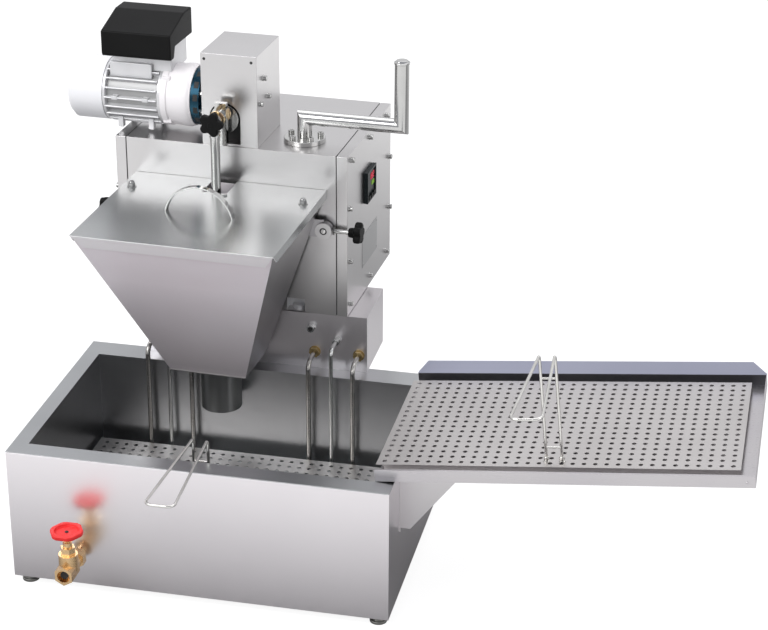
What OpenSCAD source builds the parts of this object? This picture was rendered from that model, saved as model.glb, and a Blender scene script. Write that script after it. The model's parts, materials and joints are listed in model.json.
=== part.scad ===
// Donut fryer: an oil tank with a swivelling dough depositor over it and a draining tray beside it.
// Millimetres. X runs to the right, Y to the back and Z up; the feet stand on Z = 0.
// Tank pieces are drawn from the tank's front left lower corner, head pieces from the head's
// front right edge, and tray pieces from the line where the tray passes the tank's right side.

/* [Tank] */
// Outside width of the tank
tank_w = 800; // [740:5:860]
// Outside depth of the tank
tank_d = 540; // [510:5:600]
// Height of the tank without its feet
tank_h = 293; // [280:1:320]
// Width of the front rim
rim_front = 43; // [30:1:60]
// Width of the back rim, which carries the heater box
rim_back = 60.5; // [50:0.5:80]
// Width of the left and right rims
rim_side = 34.4; // [25:0.2:45]
// Height of the basin's floor above the casing's underside
floor_z = 62; // [55:1:66]
// Sheet of the casing and basin
tank_sheet = 2; // [1.5:0.5:3]
// Height of the feet
foot_h = 19; // [12:1:30]
// Diameter of the feet
foot_d = 36; // [28:1:44]
// Distance of each foot's centre from the casing's sides
foot_inset = 26; // [22:1:40]

/* [Strainer and handles] */
// Height of the strainer plate's top above the basin's floor
strainer_rise = 39; // [36:1:45]
// Gap between the strainer and the basin's side walls
strainer_gap = 8; // [4:0.5:14]
// Gap between the strainer's back edge and the basin's back wall
strainer_back_gap = 35; // [32:1:60]
// Sheet of the perforated plates
plate_sheet = 1.5; // [1:0.5:3]
// Diameter of the wire in the lifting handles
wire_d = 6; // [5:0.5:8]
// Height of the wire handles' legs
wire_leg_h = 230; // [200:5:260]
// Reach of the wire handles' grips
wire_grip = 277; // [220:1:300]
// Distance between the wire handles' legs
wire_leg_gap = 31; // [26:1:40]
// Width of the wire grip at its end
wire_grip_w = 58; // [50:1:70]

/* [Heating] */
// Diameter of the heating elements' tube
element_d = 10.6; // [8:0.1:11]
// Distance from the back wall of the basin to the tubes that come down
tube_back = 22.5; // [18:0.5:24]
// Distance of the inner element legs from the heater box's middle
element_inner = 133; // [125:1:140]
// Distance of the outer element legs from the heater box's middle
element_outer = 232; // [225:1:240]
// Distance of the temperature probes from the heater box's middle
probe_x = 184; // [175:1:190]
// Height of the probe glands above the element nuts
probe_rise = 34; // [30:1:38]
// Diameter of the temperature probes
probe_d = 9; // [6:0.5:10]
// Height of the element nuts' centres above the rim
element_z = 40; // [38:1:41]

/* [Heater box] */
// Width of the heater box on the back rim
heater_w = 501; // [490:1:520]
// Depth of the heater box
heater_d = 165; // [150:1:180]
// Height of the heater box
heater_h = 131; // [125:1:140]
// Distance of the heater box's middle from the tank's left side
heater_mid = 388.7; // [380:0.1:395]
// Distance from the heater box's front to the tank's back side
heater_over = 20.3; // [16:0.1:30]
// Sheet of the heater box, head and covers
cover_sheet = 1.5; // [1:0.5:2]

/* [Head] */
// Width of the head with its side covers
head_w = 519.5; // [510:0.5:530]
// Depth of the head
head_d = 366.8; // [350:0.2:380]
// Height of the head
head_h = 367.9; // [350:0.1:390]
// Width of each side cover's edge
side_cover_w = 23.4; // [18:0.2:30]
// Open joint between a side cover and the shell
cover_joint = 2; // [1:0.1:3]
// Turn of the head at rest, which is its left stop
head_yaw = -2.5; // [-3:0.1:0]
// Distance of the swivel axis from the head's right side
pivot_from_right = 116.6; // [110:0.2:125]
// Distance of the swivel axis from the head's front
pivot_from_front = 80; // [76:0.5:84]
// Radius of the swivel column
column_r = 16; // [13:0.5:17]
// Outer radius of the thrust collar under the head
collar_r = 24; // [21:0.5:26]
// Radial running clearance of shafts and bushes
run_gap = 0.05; // [0.02:0.01:0.09]

/* [Swivel handle] */
// Radius of the flange on the head
flange_r = 45; // [42:0.5:50]
// Outer diameter of the handle's tube
grip_d = 32; // [26:0.5:34]
// Wall of the handle's tube
grip_wall = 2; // [1.5:0.5:3]
// Reach of the handle from the swivel axis
handle_reach = 213.6; // [180:0.2:240]
// Height of the level tube's centre above the head
handle_rise = 52; // [46:0.5:60]
// Height of the grip's end above the head
grip_top = 198; // [160:1:220]

/* [Hopper] */
// Width of the hopper's lid
lid_w = 430; // [420:1:440]
// Depth of the hopper's lid
lid_d = 380; // [360:1:390]
// Distance of the lid's top below the head's top
lid_drop = 77.1; // [70:0.1:90]
// Depth of the lid's front skirt
lid_front_skirt = 30; // [18:0.5:36]
// Depth of the lid's side skirts
lid_side_skirt = 19; // [12:0.5:24]
// Width of the hopper's bottom
hopper_floor_w = 171; // [150:1:180]
// Distance from the head to the front of the hopper's bottom
hopper_floor_front = 184; // [175:1:200]
// Distance from the head to the back of the hopper's bottom
hopper_floor_back = 23; // [20:0.5:28]
// Distance from the head to the back of the hopper's top
hopper_top_back = 12; // [10:0.5:16]
// Height from the hopper's underside to the lid's top
hopper_h = 376; // [360:1:376]
// Thickness of the hopper's bottom plate
hopper_floor_t = 4; // [3:0.5:6]
// Sheet of the hopper
hopper_sheet = 1.5; // [1:0.5:2]
// Outer diameter of the outlet tube
outlet_d = 88.9; // [80:0.1:92]
// Wall of the outlet tube
outlet_wall = 3; // [2:0.5:5]
// Distance from the head to the outlet tube's axis
outlet_y = 97; // [95:0.5:100]
// Length of the outlet tube below the hopper
outlet_len = 114; // [100:1:118]
// Radius of the clamp bosses on the hopper
boss_r = 18.7; // [16:0.1:20]
// Distance of the clamp bosses from the hopper's middle
boss_reach = 211.75; // [210:0.25:214]
// Distance of the clamp bosses below the lid's top
boss_drop = 87; // [78:1:95]

/* [Depositor drive] */
// Width of the gear cover
gear_cover_w = 124; // [120:1:130]
// Depth of the gear cover
gear_cover_d = 160; // [150:1:170]
// Height of the gear cover above the head
gear_cover_h = 202; // [195:1:210]
// Distance from the crank axis to the gear cover's right side
gear_cover_side = 72.6; // [66:0.2:78]
// Distance of the crank axis to the left of the hopper's middle
crank_offset = 10.5; // [8:0.5:12]
// Height of the crank axis above the head
crank_rise = 61; // [58:0.5:64]
// Radius of the crank pin's circle
crank_throw = 16; // [12:0.5:16]
// Radius of the crank disc
crank_disc_r = 31; // [28:0.5:32]
// Radius of the crank pin
crank_pin_r = 6; // [5:0.5:7]
// Distance from the head's front to the connecting rod's axis
rod_y = 64; // [62:0.5:66]
// Diameter of the connecting rod
rod_d = 20; // [16:0.5:20]
// Height of the open pivot above the hopper's underside
rod_pivot_rise = 130; // [120:5:150]
// Half the width of the lid's notch for the rod
notch_half = 27; // [26.6:0.2:28]

/* [Motor] */
// Distance of the motor's axis from the head's front
motor_y = 85; // [80:0.5:90]
// Height of the motor's axis above the head
motor_rise = 79; // [76:0.5:84]
// Radius of the motor's finned body
motor_r = 69; // [62:0.5:72]
// Length of the motor's finned body
motor_len = 131; // [120:1:150]
// Length of the motor's end shield
shield_len = 62; // [50:1:70]
// Length of the fan cowl
cowl_len = 81; // [70:1:100]
// Radius of the gearbox flange
gear_flange_r = 63; // [58:0.5:66]
// Width of the gap that the gearbox flange fills beside its cover
gear_flange_w = 34; // [30:1:40]
// Number of cooling fins round the motor
fin_count = 32; // [24:2:40]

/* [Tray] */
// Upward slope of the tray away from the tank, in degrees
tray_tilt = 5.87; // [3:0.1:8]
// Length of the tray from the tank's right side
tray_reach = 706; // [600:1:760]
// Overlap of the tray past the tank's right side
tray_lap = 40; // [37:1:60]
// Distance of the tray's front from the tank's front
tray_front = 43.5; // [36:0.5:60]
// Width of the tray from front to back
tray_w = 450; // [400:1:460]
// Height of the tray's walls
tray_wall_h = 25; // [20:0.5:35]
// Height of the plate's top above the tray's underside
plate_rise = 17; // [12:0.5:19]
// Width of the channel in front of the tray's plate
tray_channel = 40; // [30:1:60]
// Gap behind the tray's plate
tray_back_gap = 22; // [12:1:30]
// Gap at the outer end of the tray's plate
tray_end_gap = 30; // [15:1:60]
// Distance from the tank's right side to the tray handle's middle
tray_handle_x = 311; // [200:1:400]
// Width of the tray bracket from front to back
bracket_w = 320; // [280:5:360]
// Depth of the tray bracket's gussets on the tank
bracket_drop = 142; // [110:1:150]
// Reach of the tray bracket's gussets
bracket_reach = 134; // [100:1:160]

/* [Drain valve] */
// Distance of the drain from the tank's left side
drain_x = 149; // [120:1:300]
// Height of the drain pipe's axis above the basin's floor
drain_rise = 14; // [13:0.5:18]
// Radius of the drain's outlet bore, a G 3/4 thread's outside radius
drain_bore_r = 13.2; // [12:0.1:14]
// Hexagon of the valve's ends across the flats
valve_hex = 36; // [34:0.5:40]
// Distance from the tank's front to the valve's outlet face
valve_reach = 102; // [98:1:120]
// Distance from the tank's front to the valve's stem
stem_y = 68; // [66:1:76]
// Diameter of the handwheel
wheel_d = 68; // [60:1:80]
// Height of the handwheel's top above the drain pipe's axis
wheel_rise = 91; // [86:1:100]
// Travel of the valve's gate
gate_travel = 22; // [20:1:24]

/* [Controller] */
// Side of the temperature controller's square bezel
bezel = 72; // [68:1:80]
// Distance of the controller's middle from the head's front
controller_y = 168.5; // [160:0.5:180]
// Distance of the controller's middle below the head's top
controller_drop = 118.6; // [100:0.2:140]
// Depth of the bezel proud of the side cover
bezel_t = 10; // [6:0.5:12]

/* [Hidden] */
$fn = 48;

// Clearance between pieces that move past each other
gap = 0.3;

// Tank
basin_x1 = rim_side;
basin_x2 = tank_w - rim_side;
basin_y1 = rim_front;
basin_y2 = tank_d - rim_back;
plate_z = floor_z + strainer_rise;
strainer_x1 = basin_x1 + strainer_gap;
strainer_x2 = basin_x2 - strainer_gap;
strainer_y1 = basin_y1 + gap + 4;
strainer_y2 = basin_y2 - strainer_back_gap;
strainer_handle_y = 70;

// Heater box
heater_x1 = heater_mid - heater_w / 2;
heater_y1 = tank_d - heater_over;
heater_z2 = tank_h + heater_h;
tube_y = basin_y2 - tube_back;
nut_z = tank_h + element_z;
element_run_z = (floor_z + tank_sheet + plate_z - plate_sheet) / 2;
tube_bend = 20;

// Head, measured from its front right edge
head_z1 = heater_z2 + 1.2;
head_z2 = head_z1 + head_h;
pivot_x = heater_mid + 94.7;
pivot_y = heater_y1 + 79.5;
pivot_hx = -pivot_from_right;
pivot_hy = pivot_from_front;
collar_h = 9;
shell_x1 = -head_w + side_cover_w + cover_joint;
shell_x2 = -side_cover_w - cover_joint;
handle_z = head_z2 + handle_rise;
flange_t = 10;

// Hopper and lid, measured as the head is
hopper_mid = -head_w / 2 + 0.25;
lid_z = head_z2 - lid_drop;
hopper_z = lid_z - hopper_h;
outlet_z = hopper_z - outlet_len;
boss_z = lid_z - boss_drop;
boss_axis_y = 11.5;
lid_x1 = hopper_mid - lid_w / 2;
lid_x2 = hopper_mid + lid_w / 2;
lid_back = 1;
lid_front = lid_back + lid_d;
lid_sheet = 1.5;
lid_fit = 0.7;
hopper_top_z = lid_z - lid_sheet - gap;
hopper_body_z = hopper_z + hopper_floor_t;
hopper_x1 = hopper_mid - hopper_floor_w / 2;
hopper_x2 = hopper_mid + hopper_floor_w / 2;
hopper_slope = (lid_front - hopper_floor_front) / (lid_z - hopper_body_z);
hopper_top_front = lid_front - (lid_sheet + lid_fit) * sqrt(1 + hopper_slope * hopper_slope)
    - hopper_slope * (lid_z - hopper_top_z);
hopper_top_side = lid_w / 2 - lid_sheet - lid_fit;
outlet_r = outlet_d / 2;
outlet_bore = outlet_r - outlet_wall;
hopper_pin_r = 8;
clamp_r = 5;
boss_back = hopper_top_back + (hopper_floor_back - hopper_top_back) * (hopper_top_z - boss_z)
    / (hopper_top_z - hopper_body_z);

// Depositor drive, measured as the head is
crank_x = hopper_mid - crank_offset;
crank_z = head_z2 + crank_rise;
pin_z = crank_z + crank_throw;
pin_flange_y = 13;
eye_front = rod_y + rod_d / 2;
rod_pivot_z = hopper_z + rod_pivot_rise;
pivot_half = 9;
cover_x2 = crank_x + gear_cover_side;
cover_x1 = cover_x2 - gear_cover_w;
cover_y1 = 3;
motor_z = head_z2 + motor_rise;
flange_x = cover_x1 - gear_flange_w;
shield_x = flange_x - 5 - shield_len;
motor_x = shield_x - motor_len;
cowl_x = motor_x - cowl_len;
gear_x1 = cover_x1 + 6;
gear_x2 = crank_x + 42;
gear_y1 = 30;
gear_y2 = cover_y1 + gear_cover_d - 20;
gear_z1 = head_z2 + 3;
gear_z2 = motor_z + 46;
gear_wall = 5;
shaft_r = 10;
crank_r = 12;

// Tray, measured from the line where its plate's top passes the tank's right side
tray_z0 = tank_h + gap + plate_rise / cos(tray_tilt) + tray_lap * tan(tray_tilt);
tray_back = tray_front + tray_w;
tray_plate_x1 = -tray_lap - 6;
tray_plate_x2 = tray_reach - tray_end_gap;
tray_plate_y1 = tray_front + tray_channel;
tray_plate_y2 = tray_back - tray_back_gap;
tray_handle_y = tray_plate_y1 + 27;

// Controller on the right cover
controller_z = head_z2 - controller_drop;
key_pitch = 20;
key_z = controller_z - bezel / 2 + 10;

// Drain valve
drain_z = floor_z + drain_rise;
pipe_r = 11;
wheel_z = drain_z + wheel_rise;
seat_r = 9;
valve_cup_r = 20;
cup_z = drain_z + gate_travel + 14;
stem_r = 5;
screw_r = 2.5;
wheel_t = 9;

// The frame's origin lies under the middle of the whole fryer
reach_left = pivot_x - (-cowl_x - pivot_from_right) * cos(head_yaw);
reach_right = tank_w + tray_reach * cos(tray_tilt);
reach_front = -(wire_grip - strainer_handle_y) - wire_d / 2;
reach_back = pivot_y + (head_d - pivot_from_front) * cos(head_yaw)
    + (head_w - pivot_from_right) * sin(-head_yaw);
ref_x = (reach_left + reach_right) / 2;
ref_y = (reach_front + reach_back) / 2;

module in_tank() {
    translate([-ref_x, -ref_y, foot_h]) children();
}

module in_head() {
    in_tank() translate([pivot_x, pivot_y, 0]) rotate([0, 0, head_yaw])
        translate([-pivot_hx, -pivot_hy, 0]) children();
}

module in_tray() {
    in_tank() translate([tank_w, 0, tray_z0]) rotate([0, -tray_tilt, 0]) children();
}

module box(x1, x2, y1, y2, z1, z2) {
    translate([x1, y1, z1]) cube([x2 - x1, y2 - y1, z2 - z1]);
}

module disc_x(x1, x2, y, z, r, sides = 48) {
    translate([x1, y, z]) rotate([0, 90, 0]) cylinder(h = x2 - x1, r = r, $fn = sides);
}

module disc_y(x, y1, y2, z, r, sides = 48) {
    translate([x, y2, z]) rotate([90, 0, 0]) cylinder(h = y2 - y1, r = r, $fn = sides);
}

module disc_z(x, y, z1, z2, r, sides = 48) {
    translate([x, y, z1]) cylinder(h = z2 - z1, r = r, $fn = sides);
}

module bar(a, b, r) {
    d = b - a;
    len = norm(d);
    translate(a) rotate([0, acos(d[2] / len), atan2(d[1], d[0])]) cylinder(h = len, r = r);
}

// A quarter bend in the YZ plane, with its centre at c
module bend_yz(c, from, bend_r, r) {
    translate(c) rotate([0, 90, 0]) rotate([0, 0, from])
        rotate_extrude(angle = 90) translate([bend_r, 0]) circle(r = r);
}

// A bend in the XY plane, with its centre at c
module bend_xy(c, from, sweep, bend_r, r) {
    translate(c) rotate([0, 0, from]) rotate_extrude(angle = sweep) translate([bend_r, 0]) circle(r = r);
}

module hex_bolt_x(x, y, z, side) {
    washer_t = 1.2;
    head_t = 7;
    disc_x(side > 0 ? x : x - washer_t, side > 0 ? x + washer_t : x, y, z, 6.5);
    disc_x(side > 0 ? x + washer_t : x - washer_t - head_t,
        side > 0 ? x + washer_t + head_t : x - washer_t, y, z, 5.8, 6);
}

// Tank and what is fixed to it

module tank_casing() {
    color("gainsboro") in_tank() difference() {
        box(0, tank_w, 0, tank_d, 0, tank_h - tank_sheet);
        box(tank_sheet, tank_w - tank_sheet, tank_sheet, tank_d - tank_sheet, tank_sheet, tank_h);
        disc_y(drain_x, -1, tank_sheet + 1, drain_z, pipe_r);
    }
}

module inner_tank() {
    s = tank_sheet;
    color("silver") in_tank() difference() {
        union() {
            box(0, tank_w, 0, tank_d, tank_h - s, tank_h);
            box(basin_x1 - s, basin_x2 + s, basin_y1 - s, basin_y2 + s, floor_z, tank_h - s);
        }
        box(basin_x1, basin_x2, basin_y1, basin_y2, floor_z + s, tank_h + 1);
        disc_y(drain_x, basin_y1 - s - 1, basin_y1 + 1, drain_z, seat_r);
    }
}

module feet() {
    pad_t = 6;
    color("dimgray") in_tank()
        for (x = [foot_inset, tank_w - foot_inset], y = [foot_inset, tank_d - foot_inset]) {
            disc_z(x, y, -foot_h, -foot_h + pad_t, foot_d / 2);
            disc_z(x, y, -foot_h + pad_t, 0, foot_d / 3);
        }
}

module drain_pipe() {
    color("peru") in_tank() difference() {
        union() {
            disc_y(drain_x, -20, tank_sheet, drain_z, pipe_r);
            disc_y(drain_x, tank_sheet, basin_y1 - tank_sheet, drain_z, pipe_r);
        }
        disc_y(drain_x, -21, basin_y1, drain_z, seat_r);
    }
}

module valve_body() {
    hex_r = valve_hex / 2 / cos(30);
    slot = seat_r * 2 + 4;
    color("goldenrod") in_tank() difference() {
        union() {
            translate([drain_x, -stem_y + 14, drain_z]) rotate([90, 0, 0]) rotate([0, 0, 30])
                cylinder(h = valve_reach - stem_y + 14, r = hex_r, $fn = 6);
            translate([drain_x, -16, drain_z]) rotate([90, 0, 0]) rotate([0, 0, 30])
                cylinder(h = 18, r = hex_r, $fn = 6);
            disc_y(drain_x, -stem_y + 10, -30, drain_z, 15);
            disc_z(drain_x, -stem_y, drain_z, cup_z, valve_cup_r);
        }
        disc_y(drain_x, -valve_reach - 1, -valve_reach + 18, drain_z, drain_bore_r);
        disc_y(drain_x, -valve_reach, -20, drain_z, seat_r);
        disc_y(drain_x, -20, -15, drain_z, pipe_r);
        box(drain_x - slot / 2, drain_x + slot / 2, -stem_y - 4, -stem_y + 4, drain_z - 13, cup_z - 12);
        disc_z(drain_x, -stem_y, drain_z + 12, cup_z + 1, valve_cup_r - 5);
    }
}

module valve_bonnet() {
    color("darkgoldenrod") in_tank() difference() {
        union() {
            disc_z(drain_x, -stem_y, cup_z - 1, cup_z, valve_cup_r - 5);
            disc_z(drain_x, -stem_y, cup_z, cup_z + 16, 15.5, 6);
            disc_z(drain_x, -stem_y, cup_z + 16, cup_z + 27, 9.5);
        }
        disc_z(drain_x, -stem_y, cup_z - 2, cup_z + 28, stem_r + run_gap);
    }
}

module valve_stem() {
    color("goldenrod") in_tank() {
        disc_z(drain_x, -stem_y, drain_z + seat_r, cup_z + 1, screw_r);
        disc_z(drain_x, -stem_y, cup_z + 1, wheel_z - wheel_t, stem_r);
    }
}

module valve_handwheel() {
    corner_r = wheel_d / 2;
    color("firebrick") in_tank() translate([drain_x, -stem_y, wheel_z - wheel_t]) difference() {
        intersection() {
            cylinder(h = wheel_t, r = corner_r + 3, $fn = 6);
            translate([0, 0, -1]) cylinder(h = wheel_t + 2, r = corner_r);
        }
        translate([0, 0, wheel_t - 5]) cylinder(h = wheel_t, r = corner_r - 10);
    }
}

module valve_gate() {
    gate_t = 7;
    color("goldenrod") in_tank() difference() {
        union() {
            disc_y(drain_x, -stem_y - gate_t / 2, -stem_y + gate_t / 2, drain_z, seat_r + 1.5);
            box(drain_x - 8, drain_x + 8, -stem_y - gate_t / 2, -stem_y + gate_t / 2,
                drain_z, drain_z + 12);
        }
        disc_z(drain_x, -stem_y, drain_z - seat_r - 5, drain_z + 13, screw_r + run_gap);
    }
}

module heater_box() {
    s = cover_sheet;
    legs = [-element_outer, -element_inner, element_inner, element_outer];
    color("lightgray") in_tank() difference() {
        box(heater_x1, heater_x1 + heater_w, heater_y1, heater_y1 + heater_d, tank_h, heater_z2);
        box(heater_x1 + s, heater_x1 + heater_w - s, heater_y1 + s, heater_y1 + heater_d - s,
            tank_h + s, heater_z2 - s);
        for (x = legs) disc_y(heater_mid + x, heater_y1 - 1, heater_y1 + s + 1, nut_z, element_d / 2);
        for (x = [-probe_x, probe_x])
            disc_y(heater_mid + x, heater_y1 - 1, heater_y1 + s + 1, nut_z + probe_rise, probe_d / 2);
        disc_z(pivot_x, pivot_y, heater_z2 - s - 1, heater_z2 + 1, column_r);
    }
}

module rear_bracket() {
    t = 3;
    drop = 120;
    reach = heater_y1 + heater_d - tank_d - 15;
    color("gray") in_tank() {
        for (x = [heater_mid - 150, heater_mid + 150]) {
            translate([x, tank_d, 0]) rotate([90, 0, 90]) linear_extrude(t)
                polygon([[0, tank_h - drop], [t, tank_h - drop], [reach, tank_h - 12],
                    [reach, tank_h], [0, tank_h]]);
            box(x + t, x + 28, tank_d, tank_d + t, tank_h - drop, tank_h);
            box(x + t, x + 28, tank_d + t, tank_d + reach, tank_h - t, tank_h);
        }
    }
}

module element(x1, x2) {
    r = element_d / 2;
    b = tube_bend;
    y_turn = basin_y1 + 70 + (x2 - x1) / 2;
    for (x = [x1, x2]) {
        disc_y(x, tube_y + b, heater_y1 + 30, nut_z, r);
        bend_yz([x, tube_y + b, nut_z - b], 90 + 90, b, r);
        disc_z(x, tube_y, element_run_z + b, nut_z - b, r);
        bend_yz([x, tube_y - b, element_run_z + b], 0, b, r);
        disc_y(x, y_turn, tube_y - b, element_run_z, r);
    }
    bend_xy([(x1 + x2) / 2, y_turn, element_run_z], 180, 180, (x2 - x1) / 2, r);
}

module heating_element_left() {
    color("dimgray") in_tank() element(heater_mid - element_outer, heater_mid - element_inner);
}

module heating_element_right() {
    color("dimgray") in_tank() element(heater_mid + element_inner, heater_mid + element_outer);
}

module element_nuts() {
    nut_t = 8;
    flange = 2;
    legs = [-element_outer, -element_inner, element_inner, element_outer];
    color("goldenrod") in_tank() for (x = legs) difference() {
        union() {
            disc_y(heater_mid + x, heater_y1 - flange, heater_y1, nut_z, 13);
            disc_y(heater_mid + x, heater_y1 - flange - nut_t, heater_y1 - flange, nut_z, 12, 6);
        }
        disc_y(heater_mid + x, heater_y1 - 20, heater_y1 + 1, nut_z, element_d / 2);
    }
}

module probe(x) {
    r = probe_d / 2;
    b = 12;
    z = nut_z + probe_rise;
    tip_z = element_run_z + 12;
    disc_y(x, tube_y + b, heater_y1 + 30, z, r);
    bend_yz([x, tube_y + b, z - b], 180, b, r);
    disc_z(x, tube_y, tip_z, z - b, r);
    translate([x, tube_y, tip_z]) sphere(r = r);
}

module probe_left() {
    color("silver") in_tank() probe(heater_mid - probe_x);
}

module probe_right() {
    color("silver") in_tank() probe(heater_mid + probe_x);
}

module glands() {
    spare_x = heater_mid + 126;
    spare_z = nut_z + probe_rise + 24;
    color("silver") in_tank() {
        for (x = [-probe_x, probe_x]) difference() {
            union() {
                disc_y(heater_mid + x, heater_y1 - 8, heater_y1, nut_z + probe_rise, 9, 6);
                disc_y(heater_mid + x, heater_y1 - 20, heater_y1 - 8, nut_z + probe_rise, 7);
            }
            disc_y(heater_mid + x, heater_y1 - 21, heater_y1 + 1, nut_z + probe_rise, probe_d / 2);
        }
        difference() {
            union() {
                disc_y(spare_x, heater_y1 - 6, heater_y1, spare_z, 10, 6);
                disc_y(spare_x, heater_y1 - 14, heater_y1 - 6, spare_z, 8);
            }
            disc_y(spare_x, heater_y1 - 15, heater_y1 - 2, spare_z, 3.5);
        }
    }
}

module tray_bracket() {
    t = 3;
    y1 = tray_front + 57;
    y2 = y1 + bracket_w;
    foot = 9;
    slope = tan(tray_tilt);
    top_z = tray_z0 - plate_rise / cos(tray_tilt) - gap;
    low_z = tank_h - bracket_drop;
    color("silver") in_tank() {
        box(tank_w, tank_w + t, y1, y2, low_z, top_z);
        for (y = [y1, y2 - t]) translate([tank_w, y + t, 0]) rotate([90, 0, 0]) linear_extrude(t)
            polygon([[t, low_z + foot], [t + 20, low_z + foot],
                [bracket_reach, top_z + slope * bracket_reach - 6],
                [bracket_reach, top_z + slope * bracket_reach], [t, top_z + slope * t]]);
    }
}

module swivel_column() {
    color("silver") in_tank() {
        disc_z(pivot_x, pivot_y, tank_h + cover_sheet, head_z2 - 8, column_r);
        difference() {
            disc_z(pivot_x, pivot_y, heater_z2, heater_z2 + collar_h, collar_r);
            disc_z(pivot_x, pivot_y, heater_z2 - 1, heater_z2 + collar_h + 1, column_r - 1);
        }
    }
}

// Lifting plates with their wire handles

module wire_handle() {
    r = wire_d / 2;
    top_bend = 10;
    leg_x = wire_leg_gap / 2;
    end_x = wire_grip_w / 2;
    end_bend = 15;
    arm_y = -(wire_grip - end_bend);
    foot_t = 8;
    for (s = [-1, 1]) {
        disc_z(s * leg_x, 0, 0, foot_t, r + 1.5);
        disc_z(s * leg_x, 0, 0, wire_leg_h - top_bend, r);
        bend_yz([s * leg_x, -top_bend, wire_leg_h - top_bend], 90, top_bend, r);
        bar([s * leg_x, -top_bend, wire_leg_h], [s * end_x, arm_y, wire_leg_h], r);
        translate([s * leg_x, -top_bend, wire_leg_h]) sphere(r = r + 0.2);
        translate([s * end_x, arm_y, wire_leg_h]) sphere(r = r + 0.2);
    }
    bend_xy([-end_x + end_bend, arm_y, wire_leg_h], 180, 90, end_bend, r);
    bend_xy([end_x - end_bend, arm_y, wire_leg_h], 270, 90, end_bend, r);
    disc_x(-end_x + end_bend, end_x - end_bend, -wire_grip, wire_leg_h, r);
    for (z = [30, 180]) disc_x(-leg_x, leg_x, 0, z, 2.2);
}

module tank_strainer() {
    t = plate_sheet;
    foot = floor_z + tank_sheet + gap;
    color("silver") in_tank() {
        box(strainer_x1, strainer_x2, strainer_y1, strainer_y2, plate_z - t, plate_z);
        for (x = [strainer_x1, strainer_x2 - t])
            box(x, x + t, strainer_y1 + 10, strainer_y2 - 10, foot, plate_z - t);
    }
}

module strainer_handle() {
    color("gainsboro") in_tank() translate([heater_mid + 5.3, strainer_handle_y, plate_z]) wire_handle();
}

module drain_tray() {
    t = cover_sheet;
    z1 = -plate_rise;
    z2 = tray_wall_h - plate_rise;
    guard_y = 21;
    guard_z = 18;
    lip = 6;
    length = tray_lap + tray_reach;
    y2 = tray_back + guard_y + 1;
    color("lightsteelblue") in_tray() difference() {
        union() {
            box(-tray_lap, tray_reach, tray_front, tray_back, z1, z1 + t);
            box(tray_reach - t, tray_reach, tray_front, tray_back, z1, z2);
            translate([-tray_lap, 0, 0]) rotate([90, 0, 90]) linear_extrude(length)
                polygon([[tray_front, z1], [tray_front + t, z1], [tray_front + t, z2 - t],
                    [tray_front + lip, z2 - t], [tray_front + lip, z2], [tray_front, z2]]);
            translate([-tray_lap, 0, 0]) rotate([90, 0, 90]) linear_extrude(length)
                polygon([[tray_back - t, z1], [tray_back, z1], [tray_back, z2],
                    [tray_back + guard_y, z2 + guard_z], [tray_back + guard_y, z2 + guard_z + t],
                    [tray_back - t, z2 + t - t * guard_z / guard_y]]);
        }
        translate([0, 0, z2 - t]) linear_extrude(guard_z + 4 * t)
            polygon([[-tray_lap - 1, tray_back + 0.5], [-tray_lap, tray_back + 0.5],
                [-tray_lap + guard_y, y2], [-tray_lap - 1, y2]]);
        translate([0, 0, z2 - t]) linear_extrude(guard_z + 4 * t)
            polygon([[tray_reach + 1, tray_back + 0.5], [tray_reach, tray_back + 0.5],
                [tray_reach - guard_y - guard_z / 2, y2], [tray_reach + 1, y2]]);
    }
}

module tray_plate() {
    t = plate_sheet;
    foot = -plate_rise + cover_sheet + gap;
    color("silver") in_tray() {
        box(tray_plate_x1, tray_plate_x2, tray_plate_y1, tray_plate_y2, -t, 0);
        for (y = [tray_plate_y1, tray_plate_y2 - t])
            box(-tray_lap + 10, tray_plate_x2, y, y + t, foot, -t);
    }
}

module tray_handle() {
    color("gainsboro") in_tray() translate([tray_handle_x, tray_handle_y, 0]) wire_handle();
}

// Head

module head_shell() {
    s = cover_sheet;
    window_w = 40;
    window_h = 31;
    window_x2 = pivot_hx + window_w / 2;
    lap = 6;
    sleeve_x1 = -head_w + side_cover_w - lap;
    sleeve_x2 = -side_cover_w + lap;
    color("gainsboro") in_head() difference() {
        union() {
            box(shell_x1, shell_x2, 0, head_d, head_z1, head_z2);
            box(sleeve_x1, sleeve_x2, s, head_d - s, head_z1 + s, head_z2 - s);
        }
        box(-head_w, 0, 2 * s, head_d - 2 * s, head_z1 + 2 * s, head_z2 - 2 * s);
        box(shell_x1 + lap / 2, shell_x2 - lap / 2, s, head_d - s, head_z1 + s, head_z2 - s);
        box(window_x2 - window_w, window_x2, -1, s + 1, head_z1 - 1, head_z1 + window_h);
        for (side = [-1, 1]) disc_y(hopper_mid + side * boss_reach, -1, s + 1, boss_z, hopper_pin_r);
        disc_z(pivot_hx, pivot_hy, head_z1 - 1, head_z1 + s + 1, collar_r + 8);
        disc_z(pivot_hx, pivot_hy, head_z2 - s - 1, head_z2 + 1, column_r + 4);
    }
}

module side_pan(x_out, x_in) {
    s = cover_sheet;
    difference() {
        box(min(x_out, x_in), max(x_out, x_in), 0, head_d, head_z1, head_z2);
        box(min(x_out, x_in) + (x_out < x_in ? s : -1), max(x_out, x_in) - (x_out < x_in ? -1 : s),
            s, head_d - s, head_z1 + s, head_z2 - s);
    }
}

module head_cover_left() {
    color("lightgray") in_head() side_pan(-head_w, -head_w + side_cover_w);
}

module head_cover_right() {
    cut = bezel / 2 - 4;
    color("lightgray") in_head() difference() {
        side_pan(0, -side_cover_w);
        box(-cover_sheet - 1, 1, controller_y - cut, controller_y + cut,
            controller_z - cut, controller_z + cut);
    }
}

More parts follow.
